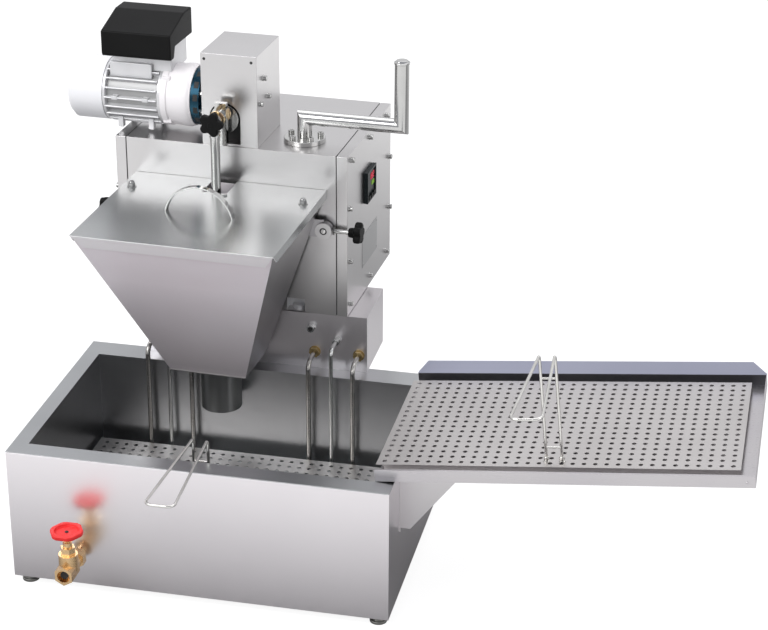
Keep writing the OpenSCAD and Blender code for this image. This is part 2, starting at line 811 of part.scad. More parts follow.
function cover_bolt_places() = [
    for (row = [[0.062, [0.06, 0.5, 0.9]], [0.34, [0.043, 0.955]],
        [0.672, [0.043, 0.955]], [0.955, [0.09, 0.5, 0.9]]])
        for (y = row[1]) [head_d * y, head_z1 + head_h * row[0]]
];

module cover_bolts() {
    gear_bolts = [[49.4, 142.5], [76.1, 94.2], [21.7, 94]];
    color("dimgray") in_head() {
        for (p = cover_bolt_places()) {
            hex_bolt_x(0, p[0], p[1], 1);
            hex_bolt_x(-head_w, p[0], p[1], -1);
        }
        for (p = gear_bolts) hex_bolt_x(cover_x2, p[0], head_z2 + p[1], 1);
    }
}

module top_flange() {
    color("silver") in_head() {
        disc_z(pivot_hx, pivot_hy, head_z2, head_z2 + flange_t, flange_r);
    }
}

module flange_bolts() {
    circle_r = 34;
    color("dimgray") in_head() for (i = [0:4]) {
        a = 20 + i * 72;
        translate([pivot_hx + circle_r * cos(a), pivot_hy + circle_r * sin(a), head_z2 + flange_t])
            difference() {
                cylinder(h = 8, r = 6.5);
                translate([0, 0, 4]) cylinder(h = 5, r = 3.2, $fn = 6);
            }
    }
}

// A 45 degree saw cut across the handle's tube: keep is 1 for the part above it
module mitre(x, keep) {
    big = 3 * grip_d;
    translate([x, pivot_hy, handle_z]) rotate([0, 45, 0])
        translate([-big / 2, -big / 2, keep > 0 ? -big : 0]) cube(big);
}

module swivel_handle() {
    r = grip_d / 2;
    x2 = pivot_hx + handle_reach;
    base = head_z2 + flange_t;
    top = head_z2 + grip_top;
    cap_t = 4;
    color("gainsboro") in_head() {
        difference() {
            disc_z(pivot_hx, pivot_hy, base, handle_z + r + 1, r);
            mitre(pivot_hx, -1);
            disc_z(pivot_hx, pivot_hy, base - 1, handle_z - r - 2, r - grip_wall);
        }
        difference() {
            disc_x(pivot_hx - r - 1, x2 + r + 1, pivot_hy, handle_z, r);
            mitre(pivot_hx, 1);
            mitre(x2, -1);
            disc_x(pivot_hx + r + 2, x2 - r - 2, pivot_hy, handle_z, r - grip_wall);
        }
        difference() {
            disc_z(x2, pivot_hy, handle_z - r - 1, top - 2 * cap_t, r);
            mitre(x2, 1);
            disc_z(x2, pivot_hy, handle_z + r + 2, top - 3 * cap_t, r - grip_wall);
        }
        disc_z(x2, pivot_hy, top - 2 * cap_t, top - cap_t, r + 1.2);
        translate([x2, pivot_hy, top - cap_t]) cylinder(h = cap_t, r1 = r - 1, r2 = r - 4);
    }
}

module gear_cover() {
    s = cover_sheet;
    z2 = head_z2 + gear_cover_h;
    arch_r = crank_disc_r + 3;
    color("gainsboro") in_head() difference() {
        box(cover_x1, cover_x2, cover_y1, cover_y1 + gear_cover_d, head_z2, z2);
        box(cover_x1 + s, cover_x2 - s, cover_y1 + s, cover_y1 + gear_cover_d - s, head_z2 - 1, z2 - s);
        disc_y(crank_x, cover_y1 - 1, cover_y1 + s + 1, crank_z, arch_r);
        box(crank_x - arch_r, crank_x + arch_r, cover_y1 - 1, cover_y1 + s + 1, head_z2 + 5, crank_z);
        disc_x(cover_x1 - 1, cover_x1 + s + 1, motor_y, motor_z, 42);
    }
}

module gearbox_housing() {
    w = gear_wall;
    color("steelblue") in_head() difference() {
        union() {
            box(gear_x1, gear_x2, gear_y1, gear_y2, gear_z1, gear_z2);
            box(gear_x1, gear_x2, gear_y1, gear_y2, head_z2, gear_z1);
            disc_x(cover_x1 - gear_flange_w, cover_x1 - 14, motor_y, motor_z, gear_flange_r);
            disc_x(cover_x1 - 14, gear_x1, motor_y, motor_z, 40);
        }
        box(gear_x1 + w, gear_x2 - w, gear_y1 + w, gear_y2 - w, gear_z1 + w, gear_z2 - w);
        disc_y(crank_x, gear_y1 - 1, gear_y1 + w + 1, crank_z, crank_r + run_gap);
        disc_y(crank_x, gear_y2 - w - 1, gear_y2 + 1, crank_z, crank_r + run_gap);
        disc_x(flange_x - 1, gear_x1 + w + 1, motor_y, motor_z, shaft_r + run_gap);
    }
}

module motor_end_shield() {
    color("gainsboro") in_head() difference() {
        union() {
            disc_x(flange_x - 14, flange_x, motor_y, motor_z, gear_flange_r);
            disc_x(shield_x + 12, flange_x - 14, motor_y, motor_z, 50);
            disc_x(shield_x, shield_x + 12, motor_y, motor_z, motor_r - 2);
        }
        disc_x(shield_x - 1, flange_x + 1, motor_y, motor_z, shaft_r + run_gap);
    }
}

module motor_housing() {
    core_r = motor_r - 11;
    fin_t = 2.2;
    color("lightgray") in_head() difference() {
        union() {
            disc_x(motor_x, shield_x, motor_y, motor_z, core_r);
            for (i = [0:fin_count - 1]) translate([motor_x, motor_y, motor_z])
                rotate([i * 360 / fin_count, 0, 0]) translate([0, -fin_t / 2, core_r - 2])
                    cube([shield_x - motor_x, fin_t, motor_r - core_r + 2]);
            box(motor_x + 12, motor_x + 108, motor_y - 45, motor_y + 45, motor_z + 30, motor_z + 74);
        }
        disc_x(motor_x + 8, shield_x + 1, motor_y, motor_z, core_r - 6);
        disc_x(motor_x - 1, motor_x + 9, motor_y, motor_z, shaft_r + run_gap);
    }
}

module motor_stator() {
    color("saddlebrown") in_head() difference() {
        disc_x(motor_x + 22, shield_x - 22, motor_y, motor_z, motor_r - 17);
        disc_x(motor_x + 20, shield_x - 20, motor_y, motor_z, 32.4);
    }
}

module motor_rotor() {
    pinion_x = crank_x - 40;
    color("dimgray") in_head() {
        disc_x(motor_x - 40, pinion_x, motor_y, motor_z, shaft_r);
        disc_x(pinion_x, crank_x - 16, motor_y, motor_z, 7.5);
        disc_x(motor_x + 22, shield_x - 22, motor_y, motor_z, 32);
    }
}

module fan_cowl() {
    s = 2;
    color("whitesmoke") in_head() difference() {
        union() {
            disc_x(cowl_x + 10, motor_x, motor_y, motor_z, motor_r);
            translate([cowl_x + 10, motor_y, motor_z]) rotate([0, -90, 0])
                cylinder(h = 10, r1 = motor_r, r2 = motor_r - 9);
        }
        disc_x(cowl_x + 10, motor_x + 1, motor_y, motor_z, motor_r - s);
        for (a = [0:45:315]) translate([cowl_x, motor_y + 34 * cos(a), motor_z + 34 * sin(a)])
            rotate([0, 90, 0]) translate([0, 0, -1]) cylinder(h = 12, r = 7);
    }
}

module cooling_fan() {
    color("black") in_head() difference() {
        union() {
            disc_x(motor_x - 38, motor_x - 12, motor_y, motor_z, 20);
            for (i = [0:7]) translate([motor_x - 36, motor_y, motor_z]) rotate([i * 45, 0, 0])
                translate([0, -1.5, 15]) cube([22, 3, 43]);
        }
        disc_x(motor_x - 41, motor_x - 11, motor_y, motor_z, 10);
    }
}

module terminal_box() {
    box_w = motor_len + 26;
    box_d = 140;
    x1 = motor_x + 3;
    x2 = x1 + box_w;
    y1 = motor_y - box_d / 2 + 5;
    y2 = y1 + box_d;
    z1 = motor_z + motor_r + 22;
    lid_low = 56;
    lid_high = 82;
    color("black") in_head() {
        box(x1 + 15, x2 - 24, y1 + 18, y2 - 18, motor_z + 74, z1);
        translate([x1, 0, 0]) rotate([90, 0, 90]) linear_extrude(x2 - x1)
            polygon([[y1, z1], [y2, z1], [y2, z1 + lid_high],
                [y2 - 50, z1 + lid_high], [y1, z1 + lid_low]]);
    }
}

module swivel_bushes() {
    lower = heater_z2 + collar_h + gap;
    color("darkgoldenrod") in_head() difference() {
        union() {
            disc_z(pivot_hx, pivot_hy, head_z1 + cover_sheet, lower + 4, collar_r + 12);
            disc_z(pivot_hx, pivot_hy, lower + 4, lower + 34, column_r + 6);
            disc_z(pivot_hx, pivot_hy, head_z2 - 36, head_z2 - cover_sheet, column_r + 4);
            disc_z(pivot_hx, pivot_hy, head_z2 - cover_sheet, head_z2, column_r + 4);
        }
        disc_z(pivot_hx, pivot_hy, head_z1, lower, collar_r + 0.5);
        disc_z(pivot_hx, pivot_hy, lower - 1, head_z2 - 6, column_r + run_gap);
    }
}

module temperature_controller() {
    half = bezel / 2;
    body = half - 5;
    body_d = 70;
    y = controller_y;
    z = controller_z;
    color("black") in_head() difference() {
        union() {
            box(0, bezel_t, y - half, y + half, z - half, z + half);
            box(-body_d, 0, y - body, y + body, z - body, z + body);
        }
        for (i = [-1:1])
            box(bezel_t - 3, bezel_t + 1, y + i * key_pitch - 7, y + i * key_pitch + 7,
                key_z - 4, key_z + 4);
    }
}

module key(i) {
    y = controller_y + i * key_pitch;
    half_w = 7 - gap;
    half_h = 4 - gap;
    color("dimgray") in_head()
        box(bezel_t - 1.9, bezel_t + 1, y - half_w, y + half_w, key_z - half_h, key_z + half_h);
}

module rating_plate() {
    plate_w = 125;
    plate_h = 75;
    y1 = (head_d - plate_w) / 2;
    z1 = head_z1 + 65;
    color("gainsboro") in_head() box(0, 0.8, y1, y1 + plate_w, z1, z1 + plate_h);
}

module hopper_pins() {
    reach = 20;
    color("silver") in_head() for (side = [-1, 1]) {
        x = hopper_mid + side * boss_reach;
        disc_y(x, -reach, cover_sheet, boss_z, hopper_pin_r);
        disc_y(x, cover_sheet, cover_sheet + 6.5, boss_z, hopper_pin_r + 5);
    }
}

module electrical_panel() {
    t = 2;
    panel_h = 250;
    x1 = shell_x1 + 74;
    x2 = shell_x2 - 35;
    y = head_d - cover_sheet - t;
    z1 = head_z1 + 60;
    switch_w = 45;
    switch_pitch = 60;
    color("beige") in_head() {
        box(x1, x2, y, y + t, z1, z1 + panel_h);
        for (x = [x1 + 20:switch_pitch:x1 + 20 + 2 * switch_pitch])
            box(x, x + switch_w, y - 80, y, z1 + 130, z1 + 210);
        box(x1 + 20, x1 + 220, y - 40, y, z1 + 30, z1 + 70);
    }
}

// Hopper and lid

module hopper_pyramid(inset, z1, z2) {
    hull() {
        translate([hopper_x1 + inset, -hopper_floor_front + inset, z1])
            cube([hopper_floor_w - 2 * inset, hopper_floor_front - hopper_floor_back - 2 * inset, 0.01]);
        translate([hopper_mid - hopper_top_side + inset, -hopper_top_front + inset, z2])
            cube([2 * (hopper_top_side - inset), hopper_top_front - hopper_top_back - 2 * inset, 0.01]);
    }
}

module hopper() {
    ear = 4;
    ear_w = 50;
    boss_front = 20;
    color("silver") in_head() {
        difference() {
            union() {
                hopper_pyramid(0, hopper_body_z, hopper_top_z);
                box(hopper_x1, hopper_x2, -hopper_floor_front, -hopper_floor_back, hopper_z, hopper_body_z);
            }
            hopper_pyramid(hopper_sheet, hopper_body_z + 0.02, hopper_top_z + 1);
            disc_z(hopper_mid, -outlet_y, hopper_z - 1, hopper_body_z + 1, outlet_r);
        }
        for (side = [-1, 1]) {
            x = hopper_mid + side * boss_reach;
            ear_x = x - side * ear_w;
            screw_x = x + side * (boss_r + 1);
            difference() {
                union() {
                    disc_y(x, -boss_front, -3, boss_z, boss_r);
                    box(min(x, ear_x), max(x, ear_x), -boss_back - 1, -boss_back + ear,
                        boss_z - 16, boss_z + 24);
                }
                disc_y(x, -boss_front - 1, 0, boss_z, hopper_pin_r + run_gap);
                disc_x(min(x, screw_x), max(x, screw_x), -boss_axis_y, boss_z, clamp_r + run_gap);
            }
        }
    }
}

module outlet_tube() {
    color("dimgray") in_head() difference() {
        disc_z(hopper_mid, -outlet_y, outlet_z, hopper_body_z, outlet_r);
        disc_z(hopper_mid, -outlet_y, outlet_z - 1, hopper_body_z + 1, outlet_bore);
    }
}

module hopper_lid() {
    s = lid_sheet;
    a = atan(hopper_slope);
    depth = lid_front_skirt / cos(a);
    start = s * tan(a) + 0.2;
    cut = 22;
    color("silver") in_head() {
        difference() {
            box(lid_x1, lid_x2, -lid_front, -lid_back, lid_z - s, lid_z);
            box(crank_x - notch_half, crank_x + notch_half, -rod_y - 14, 0, lid_z - s - 1, lid_z + 1);
        }
        translate([0, -lid_front, lid_z - 0.2]) rotate([90 + a, 0, 0]) mirror([0, 1, 0])
            translate([0, 0, -s]) linear_extrude(s) polygon([[lid_x1 + 1, start], [lid_x2 - 1, start],
                [lid_x2 - cut, depth], [lid_x1 + cut, depth]]);
        for (x = [lid_x1, lid_x2 - s]) translate([x, 0, 0]) rotate([90, 0, 90]) linear_extrude(s)
            polygon([[-lid_front + 3, lid_z - s], [-lid_back, lid_z - s],
                [-lid_back, lid_z - lid_side_skirt], [-lid_front + 20, lid_z - lid_side_skirt]]);
    }
}

module lid_handle() {
    span = 152;
    rise = 61;
    arc_r = (span * span / 4 + rise * rise) / 2 / rise;
    strap_w = 14;
    strap_t = 3;
    handle_y = lid_back + lid_d / 2 + 11;
    twist = -4;
    place = [hopper_mid, -handle_y, lid_z];
    color("gainsboro") in_head() translate(place) rotate([0, 0, twist]) difference() {
        translate([0, strap_w / 2, rise - arc_r]) rotate([90, 0, 0]) difference() {
            cylinder(h = strap_w, r = arc_r, $fn = 96);
            translate([0, 0, -1]) cylinder(h = strap_w + 2, r = arc_r - strap_t, $fn = 96);
        }
        translate([-span, -span / 2, -2 * span]) cube([2 * span, span, 2 * span]);
    }
}

module lid_nuts() {
    y = -90;
    nut_top = lid_z + 8;
    color("gainsboro") in_head() {
        for (x = [lid_x1 + 24, lid_x2 - 26]) {
            disc_z(x, y, lid_z, lid_z + 1.5, 10);
            disc_z(x, y, lid_z + 1.5, nut_top, 7.5, 6);
            difference() {
                translate([x, y, nut_top]) sphere(r = 6.3);
                disc_z(x, y, lid_z, nut_top, 8);
            }
        }
        disc_z(crank_x + notch_half, -rod_y - 24, lid_z, lid_z + 3, 5);
    }
}

// Depositor drive

module crank_shaft() {
    disc_t = 12;
    boss_y = 8;
    flange_r2 = 17.5;
    thread_len = 14;
    color("silver") in_head() {
        disc_y(crank_x, disc_t, gear_y2 + 3, crank_z, crank_r);
        disc_y(crank_x, 0, disc_t, crank_z, crank_disc_r);
        disc_y(crank_x, -boss_y, 0, pin_z, crank_pin_r + 4);
        disc_y(crank_x, -pin_flange_y, -boss_y, pin_z, flange_r2);
        disc_y(crank_x, -eye_front, -pin_flange_y, pin_z, crank_pin_r);
        disc_y(crank_x, -eye_front - thread_len, -eye_front, pin_z, crank_pin_r - 1);
    }
}

module ring_gear() {
    gear_y = motor_y + 8;
    face_w = 14;
    gear_r = 34;
    color("dimgray") in_head() difference() {
        disc_y(crank_x, gear_y, gear_y + face_w, crank_z, gear_r);
        disc_y(crank_x, gear_y - 1, gear_y + face_w + 1, crank_z, crank_r);
    }
}

module conrod() {
    strap_w = 25;
    strap_front = 26;
    strap_low = head_z2 + 10;
    strap_top = pin_z + 27;
    eye_r = 13;
    neck_r = 11;
    ring_r = rod_d / 2 + 2;
    lap_top = rod_pivot_z + pivot_half + 2 * crank_throw + 3;
    color("gainsboro") in_head() difference() {
        union() {
            box(crank_x - strap_w / 2, crank_x + strap_w / 2, -strap_front, -pin_flange_y - gap,
                strap_low, strap_top);
            disc_y(crank_x, -rod_y + rod_d / 2, -strap_front, pin_z, neck_r);
            disc_y(crank_x, -eye_front, -rod_y + rod_d / 2, pin_z, eye_r);
            disc_z(crank_x, -rod_y, lap_top, pin_z - 5, rod_d / 2);
            for (z = [pin_z - 34, pin_z - 26]) disc_z(crank_x, -rod_y, z, z + 4, ring_r);
            box(crank_x - pivot_half, crank_x + pivot_half, -rod_y - pivot_half, -rod_y - gap / 2,
                rod_pivot_z, lap_top);
            disc_y(crank_x, -rod_y - pivot_half, -rod_y - gap / 2, rod_pivot_z, pivot_half);
        }
        disc_y(crank_x, -eye_front - 1, 0, pin_z, crank_pin_r + run_gap);
    }
}

module plunger() {
    h = pivot_half;
    arm_top = rod_pivot_z - 50;
    arm_low = arm_top - 20;
    piston_low = outlet_z + 80;
    piston_t = 22;
    former_low = outlet_z + 40;
    former_t = 5;
    former_r = 25;
    color("silver") in_head() {
        disc_y(crank_x, -rod_y + gap / 2, -rod_y + h, rod_pivot_z, h);
        box(crank_x - h, crank_x + h, -rod_y + gap / 2, -rod_y + h, arm_top, rod_pivot_z);
        box(crank_x - h, hopper_mid + h, -outlet_y - h, -rod_y + h, arm_low, arm_top);
        disc_z(hopper_mid, -outlet_y, former_low + former_t, arm_low, h);
        disc_z(hopper_mid, -outlet_y, piston_low, piston_low + piston_t, outlet_bore - run_gap);
        disc_z(hopper_mid, -outlet_y, former_low, former_low + former_t, former_r);
    }
}

module star_grip(lobe_r, body_r, h) {
    for (i = [0:4]) rotate([0, 0, i * 72 + 18]) translate([body_r, 0, 0]) cylinder(h = h, r = lobe_r);
    cylinder(h = h, r = body_r);
}

module rod_knob() {
    neck_h = 3;
    star_h = 15;
    color("black") in_head() translate([crank_x, -eye_front - gap, pin_z]) rotate([90, 0, 0]) difference() {
        union() {
            cylinder(h = neck_h, r = 12);
            translate([0, 0, neck_h]) star_grip(8, 19, star_h);
        }
        translate([0, 0, -1]) cylinder(h = 15, r = crank_pin_r - 1 + run_gap);
    }
}

module clamp_screw(side) {
    x = hopper_mid + side * boss_reach;
    tip = x + side * (hopper_pin_r + gap);
    hub = x + side * (boss_r + 36);
    hub_len = 13;
    grip_h = 16;
    color("black") in_head() {
        bar([tip, -boss_axis_y, boss_z], [hub, -boss_axis_y, boss_z], clamp_r);
        bar([hub, -boss_axis_y, boss_z], [hub + side * hub_len, -boss_axis_y, boss_z], 10);
        translate([hub + side * hub_len, -boss_axis_y, boss_z]) rotate([0, side * 90, 0])
            star_grip(7.5, 17, grip_h);
    }
}

module clamp_screw_left() {
    clamp_screw(-1);
}

module clamp_screw_right() {
    clamp_screw(1);
}

module key_left() {
    key(-1);
}

module key_middle() {
    key(0);
}

module key_right() {
    key(1);
}

tank_casing();
inner_tank();
feet();
heater_box();
rear_bracket();
heating_element_left();
heating_element_right();
element_nuts();
probe_left();
probe_right();
glands();
drain_pipe();
valve_body();
valve_bonnet();
valve_handwheel();
valve_stem();
valve_gate();
tray_bracket();
swivel_column();
tank_strainer();
strainer_handle();
drain_tray();
tray_plate();
tray_handle();
head_shell();
head_cover_left();
head_cover_right();
cover_bolts();
top_flange();
flange_bolts();
swivel_handle();
gear_cover();
gearbox_housing();
motor_housing();
motor_end_shield();
fan_cowl();
motor_stator();
terminal_box();
swivel_bushes();
temperature_controller();
rating_plate();
hopper_pins();
electrical_panel();
hopper();
outlet_tube();
hopper_lid();
lid_handle();
lid_nuts();
crank_shaft();
ring_gear();
conrod();
rod_knob();
motor_rotor();
cooling_fan();
plunger();
clamp_screw_left();
clamp_screw_right();
key_left();
key_middle();
key_right();
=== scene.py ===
# %% [markdown]
# Donut fryer: an oil tank, a swivelling dough depositor over it and a draining tray at its side.
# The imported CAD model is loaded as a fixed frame. Each cell below dresses one kind of piece:
# it says what the piece is on the real machine, how it could be made, and why this way was chosen.

# %% Load the frame
import json
import math
import bpy
import bmesh
from mathutils import Matrix, Vector


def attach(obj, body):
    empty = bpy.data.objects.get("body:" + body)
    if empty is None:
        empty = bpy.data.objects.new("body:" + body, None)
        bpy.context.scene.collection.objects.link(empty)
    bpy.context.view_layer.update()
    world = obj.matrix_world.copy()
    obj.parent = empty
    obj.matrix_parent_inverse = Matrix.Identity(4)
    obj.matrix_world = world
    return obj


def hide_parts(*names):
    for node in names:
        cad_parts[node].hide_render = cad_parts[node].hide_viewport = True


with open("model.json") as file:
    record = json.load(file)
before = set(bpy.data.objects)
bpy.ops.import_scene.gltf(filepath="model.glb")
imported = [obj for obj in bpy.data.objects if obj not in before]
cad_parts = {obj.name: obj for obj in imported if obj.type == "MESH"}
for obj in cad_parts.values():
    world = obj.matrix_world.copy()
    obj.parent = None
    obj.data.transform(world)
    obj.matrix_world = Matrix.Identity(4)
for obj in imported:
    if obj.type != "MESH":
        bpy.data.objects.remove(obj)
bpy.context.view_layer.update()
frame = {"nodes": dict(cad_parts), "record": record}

# %% [markdown]
# The camera stands where the photograph was taken: to the right of the front, and well above the tank.
# Its place was worked out once from the tank's straight edges, so it is written as plain numbers.
# A long lens keeps the perspective as gentle as in the picture.

# %% Camera
CAMERA_PLACE = Vector((0.80341, -3.87645, 2.3485))
CAMERA_AZIMUTH, CAMERA_RISE, CAMERA_ROLL = (math.radians(a) for a in (12.005, 24.579, 0.376))
LENS, SENSOR_WIDTH, FARTHEST = 98.47, 36, 50


def camera_turn(azimuth, rise, roll):
    back = Vector((math.sin(azimuth) * math.cos(rise), -math.cos(azimuth) * math.cos(rise), math.sin(rise)))
    right = Vector((math.cos(azimuth), math.sin(azimuth), 0))
    up = back.cross(right)
    x_axis = right * math.cos(roll) + up * math.sin(roll)
    y_axis = -right * math.sin(roll) + up * math.cos(roll)
    return Matrix((x_axis, y_axis, back)).transposed().to_4x4()


camera_data = bpy.data.cameras.new("camera")
camera_data.lens = LENS
camera_data.sensor_width = SENSOR_WIDTH
camera_data.sensor_fit = "HORIZONTAL"
camera_data.clip_end = FARTHEST
camera = bpy.data.objects.new("camera", camera_data)
camera.matrix_world = Matrix.Translation(CAMERA_PLACE) @ camera_turn(CAMERA_AZIMUTH, CAMERA_RISE, CAMERA_ROLL)
bpy.context.scene.collection.objects.link(camera)
bpy.context.scene.camera = camera
bpy.context.scene.view_settings.view_transform = "Standard"
print("camera at", tuple(CAMERA_PLACE))

# %% [markdown]
# The drawing of the machine has four sets of axes: the whole machine's, the tank's, the turned head's
# and the sloping tray's. Each detail below is drawn in millimetres from its own corner, and one matrix
# then puts it in its place. That keeps the numbers as short as those on a workshop drawing.

# %% Axes of the tank, the head and the tray
TANK_W, TANK_H, FOOT_H = 800.0, 293.0, 19.0
TANK_CORNER = Vector((-734.195, -346.651, FOOT_H))
TANK = Matrix.Scale(0.001, 4) @ Matrix.Translation(TANK_CORNER)
PIVOT = Vector((483.4, 599.2, 0.0))
PIVOT_IN_HEAD = Vector((-116.6, 80.0, 0.0))
HEAD_YAW = math.radians(-2.5)
HEAD_TURN = Matrix.Rotation(HEAD_YAW, 4, "Z")
HEAD = TANK @ Matrix.Translation(PIVOT) @ HEAD_TURN @ Matrix.Translation(-PIVOT_IN_HEAD)
RIM_GAP, TRAY_DEPTH, TRAY_OVERLAP, TRAY_TILT = 0.3, 17.0, 40.0, math.radians(5.87)
TRAY_Z = TANK_H + RIM_GAP + TRAY_DEPTH / math.cos(TRAY_TILT) + TRAY_OVERLAP * math.tan(TRAY_TILT)
TRAY = TANK @ Matrix.Translation((TANK_W, 0, TRAY_Z)) @ Matrix.Rotation(-TRAY_TILT, 4, "Y")
HEAD_TOP = 793.1
print("head corner", tuple(HEAD @ Vector((0, 0, HEAD_TOP))), "tray line", tuple(TRAY @ Vector((0, 0, 0))))

# %% [markdown]
# A material, the light of the world and a Geometry Nodes setup are all trees of small nodes. A few
# helpers keep their cells short: one makes a node with its settings and values, one wires sockets
# together, and one fills a colour ramp. A ramp sorts its stops by place as each new one comes in, so
# the two end stops are coloured first, while their numbers are still 0 and 1.

# %% Helpers: nodes, wires and colour ramps
def node_tree_of(holder):
    holder.use_nodes = True
    holder.node_tree.nodes.clear()
    return holder.node_tree


def node_of(tree, kind, settings=None, **values):
    node = tree.nodes.new(kind)
    for key, value in (settings or {}).items():
        setattr(node, key, value)
    for label, value in values.items():
        node.inputs[label.replace("_", " ")].default_value = value
    return node


def math_node(tree, operation, second=None):
    node = node_of(tree, "ShaderNodeMath", {"operation": operation})
    if second is not None:
        node.inputs[1].default_value = second
    return node


def wire(tree, *links):
    for source, output, target, into in links:
        tree.links.new(source.outputs[output], target.inputs[into])


def ramp_of(tree, first, last, between):
    node = tree.nodes.new("ShaderNodeValToRGB")
    stops = node.color_ramp.elements
    stops[0].color = (*first, 1)
    stops[1].color = (*last, 1)
    for place, colour in between:
        stops.new(place).color = (*colour, 1)
    return node


def grey(level):
    return (level, level, level)


print("helpers ready")

# %% [markdown]
# A studio table is pale and has no edge, so the floor is one large sheet. Its colour comes from the
# sheet itself: the camera sees it glow as white as paper, and a share of plain diffuse grey on top of
# that still takes the machine's soft shadow. Mirror-like steel sees another glow: bright in front of
# the machine, then painted dark round the tank and under the tray as a painted shadow that only the
# steel sees, and bright again far behind. That gives the tank its light front and, as painted shade, its dark
# side.

# %% Floor
FLOOR_REACH, DIFFUSE_GREY, PAPER_GLOW = 9, 0.26, 0.89
RAMP_FRONT, RAMP_BACK = -1.0, 3.0
# painted shade: the dark stops of the glow that only the steel sees stand for the shadow round the tank and
# under the tray
REFLECTED_SHADE_STOPS = ((0.156, 0.08), (0.168, 0.04), (0.28, 0.05), (0.38, 0.34), (0.52, 0.34), (0.60, 0.16))
floor_material = bpy.data.materials.new("studio_floor")
tree = node_tree_of(floor_material)
output = node_of(tree, "ShaderNodeOutputMaterial")
diffuse = node_of(tree, "ShaderNodeBsdfDiffuse", Color=(*grey(DIFFUSE_GREY), 1))
glow = node_of(tree, "ShaderNodeEmission")
rays = node_of(tree, "ShaderNodeLightPath")
seen = math_node(tree, "MULTIPLY", PAPER_GLOW)
mirrored = math_node(tree, "MULTIPLY_ADD")
together = node_of(tree, "ShaderNodeAddShader")
spot = node_of(tree, "ShaderNodeTexCoord")
depth = node_of(tree, "ShaderNodeSeparateXYZ")
span = node_of(tree, "ShaderNodeMapRange", From_Min=RAMP_FRONT, From_Max=RAMP_BACK)
reflected_shade_ramp = ramp_of(tree, grey(0.84), grey(1.0), [(place, grey(level)) for place, level in REFLECTED_SHADE_STOPS])
wire(tree,
     (spot, "Object", depth, 0),
     (depth, "Y", span, "Value"),
     (span, "Result", reflected_shade_ramp, "Fac"),
     (reflected_shade_ramp, "Color", mirrored, 1),
     (rays, "Is Camera Ray", seen, 0),
     (rays, "Is Glossy Ray", mirrored, 0),
     (seen, 0, mirrored, 2),
     (mirrored, 0, glow, "Strength"),
     (diffuse, "BSDF", together, 0),
     (glow, 0, together, 1),
     (together, 0, output, "Surface"))
floor_mesh = bpy.data.meshes.new("studio_floor")
corners = [(x * FLOOR_REACH, y * FLOOR_REACH, 0) for x, y in ((-1, -1), (1, -1), (1, 1), (-1, 1))]
floor_mesh.from_pydata(corners, [], [(0, 1, 2, 3)])
floor_mesh.materials.append(floor_material)
floor = bpy.data.objects.new("studio_floor", floor_mesh)
bpy.context.scene.collection.objects.link(floor)
print("floor", floor.dimensions[:])

# %% [markdown]
# Bare steel shows mostly what stands round it. This studio is mid grey at the horizon, white halfway
# up its walls, a dim bluish grey above that and white again straight overhead; the side behind the
# camera is a fifth darker. Flat sheets mirror the pale parts, and round tubes get the dark bands that
# make them look round. The camera itself sees plain white.

# %% World
GROUND, OVERHEAD = grey(0.55), grey(1.0)
WALLS = ((0.48, (0.50, 0.51, 0.56)), (0.70, (1.00, 1.00, 1.01)), (0.82, (0.66, 0.66, 0.69)),
         (0.93, (0.40, 0.41, 0.48)))
SIDE_LIGHT, CAMERA_SIDE_LIGHT = 1.0, 0.80
world = bpy.data.worlds.new("studio")
bpy.context.scene.world = world
tree = node_tree_of(world)
direction = node_of(tree, "ShaderNodeTexCoord")
split = node_of(tree, "ShaderNodeSeparateXYZ")
height = node_of(tree, "ShaderNodeMapRange", From_Min=-1.0)
walls = ramp_of(tree, GROUND, OVERHEAD, WALLS)
behind_camera = node_of(tree, "ShaderNodeMapRange", {"interpolation_type": "SMOOTHSTEP"},
                        From_Min=0.15, From_Max=-0.75, To_Min=SIDE_LIGHT, To_Max=CAMERA_SIDE_LIGHT)
dim = node_of(tree, "ShaderNodeVectorMath", {"operation": "SCALE"})
soft = node_of(tree, "ShaderNodeBackground")
page = node_of(tree, "ShaderNodeBackground", Color=(1, 1, 1, 1))
rays = node_of(tree, "ShaderNodeLightPath")
mix = node_of(tree, "ShaderNodeMixShader")
world_output = node_of(tree, "ShaderNodeOutputWorld")
wire(tree,
     (direction, "Generated", split, 0),
     (split, "Z", height, "Value"),
     (height, "Result", walls, "Fac"),
     (split, "Y", behind_camera, "Value"),
     (walls, "Color", dim, 0),
     (behind_camera, "Result", dim, "Scale"),
     (dim, 0, soft, "Color"),
     (rays, "Is Camera Ray", mix, "Fac"),
     (soft, 0, mix, 1),
     (page, 0, mix, 2),
     (mix, 0, world_output, "Surface"))
print("world", len(tree.nodes), "nodes")

# %% [markdown]
# The lamps are large sheets of cloth with a lamp behind them. A large dim lamp gives the same light as
# a small bright one, but its mirror image in the steel stays grey instead of burning out.

# %% Lamps
def soft_lamp(name, place, aim_height, size, power):
    data = bpy.data.lights.new(name, "AREA")
    data.shape = "RECTANGLE"
    data.size, data.size_y = size
    data.energy = power
    lamp = bpy.data.objects.new(name, data)
    lamp.location = place
    toward = Vector((0, 0, aim_height)) - Vector(place)
    lamp.rotation_euler = toward.to_track_quat("-Z", "Y").to_euler()
    bpy.context.scene.collection.objects.link(lamp)


soft_lamp("key_lamp", (-2.6, -2.6, 3.4), 0.4, (3.6, 2.6), 138)
soft_lamp("fill_lamp", (3.6, -1.2, 2.4), 0.4, (2.6, 2.6), 26)
soft_lamp("top_lamp", (0.2, 1.6, 3.8), 0.5, (3.6, 2.4), 46)

# %% [markdown]
# Nearly every surface here is brushed stainless steel. The belt leaves fine streaks in one direction,
# and hands leave faint cloudy patches. These effects are shader node groups with named inputs, so each
# material sets its own strength. A group's input is a colour, a vector or a number, as its value is.
# The streaks are noise that is stretched along the belt's direction.

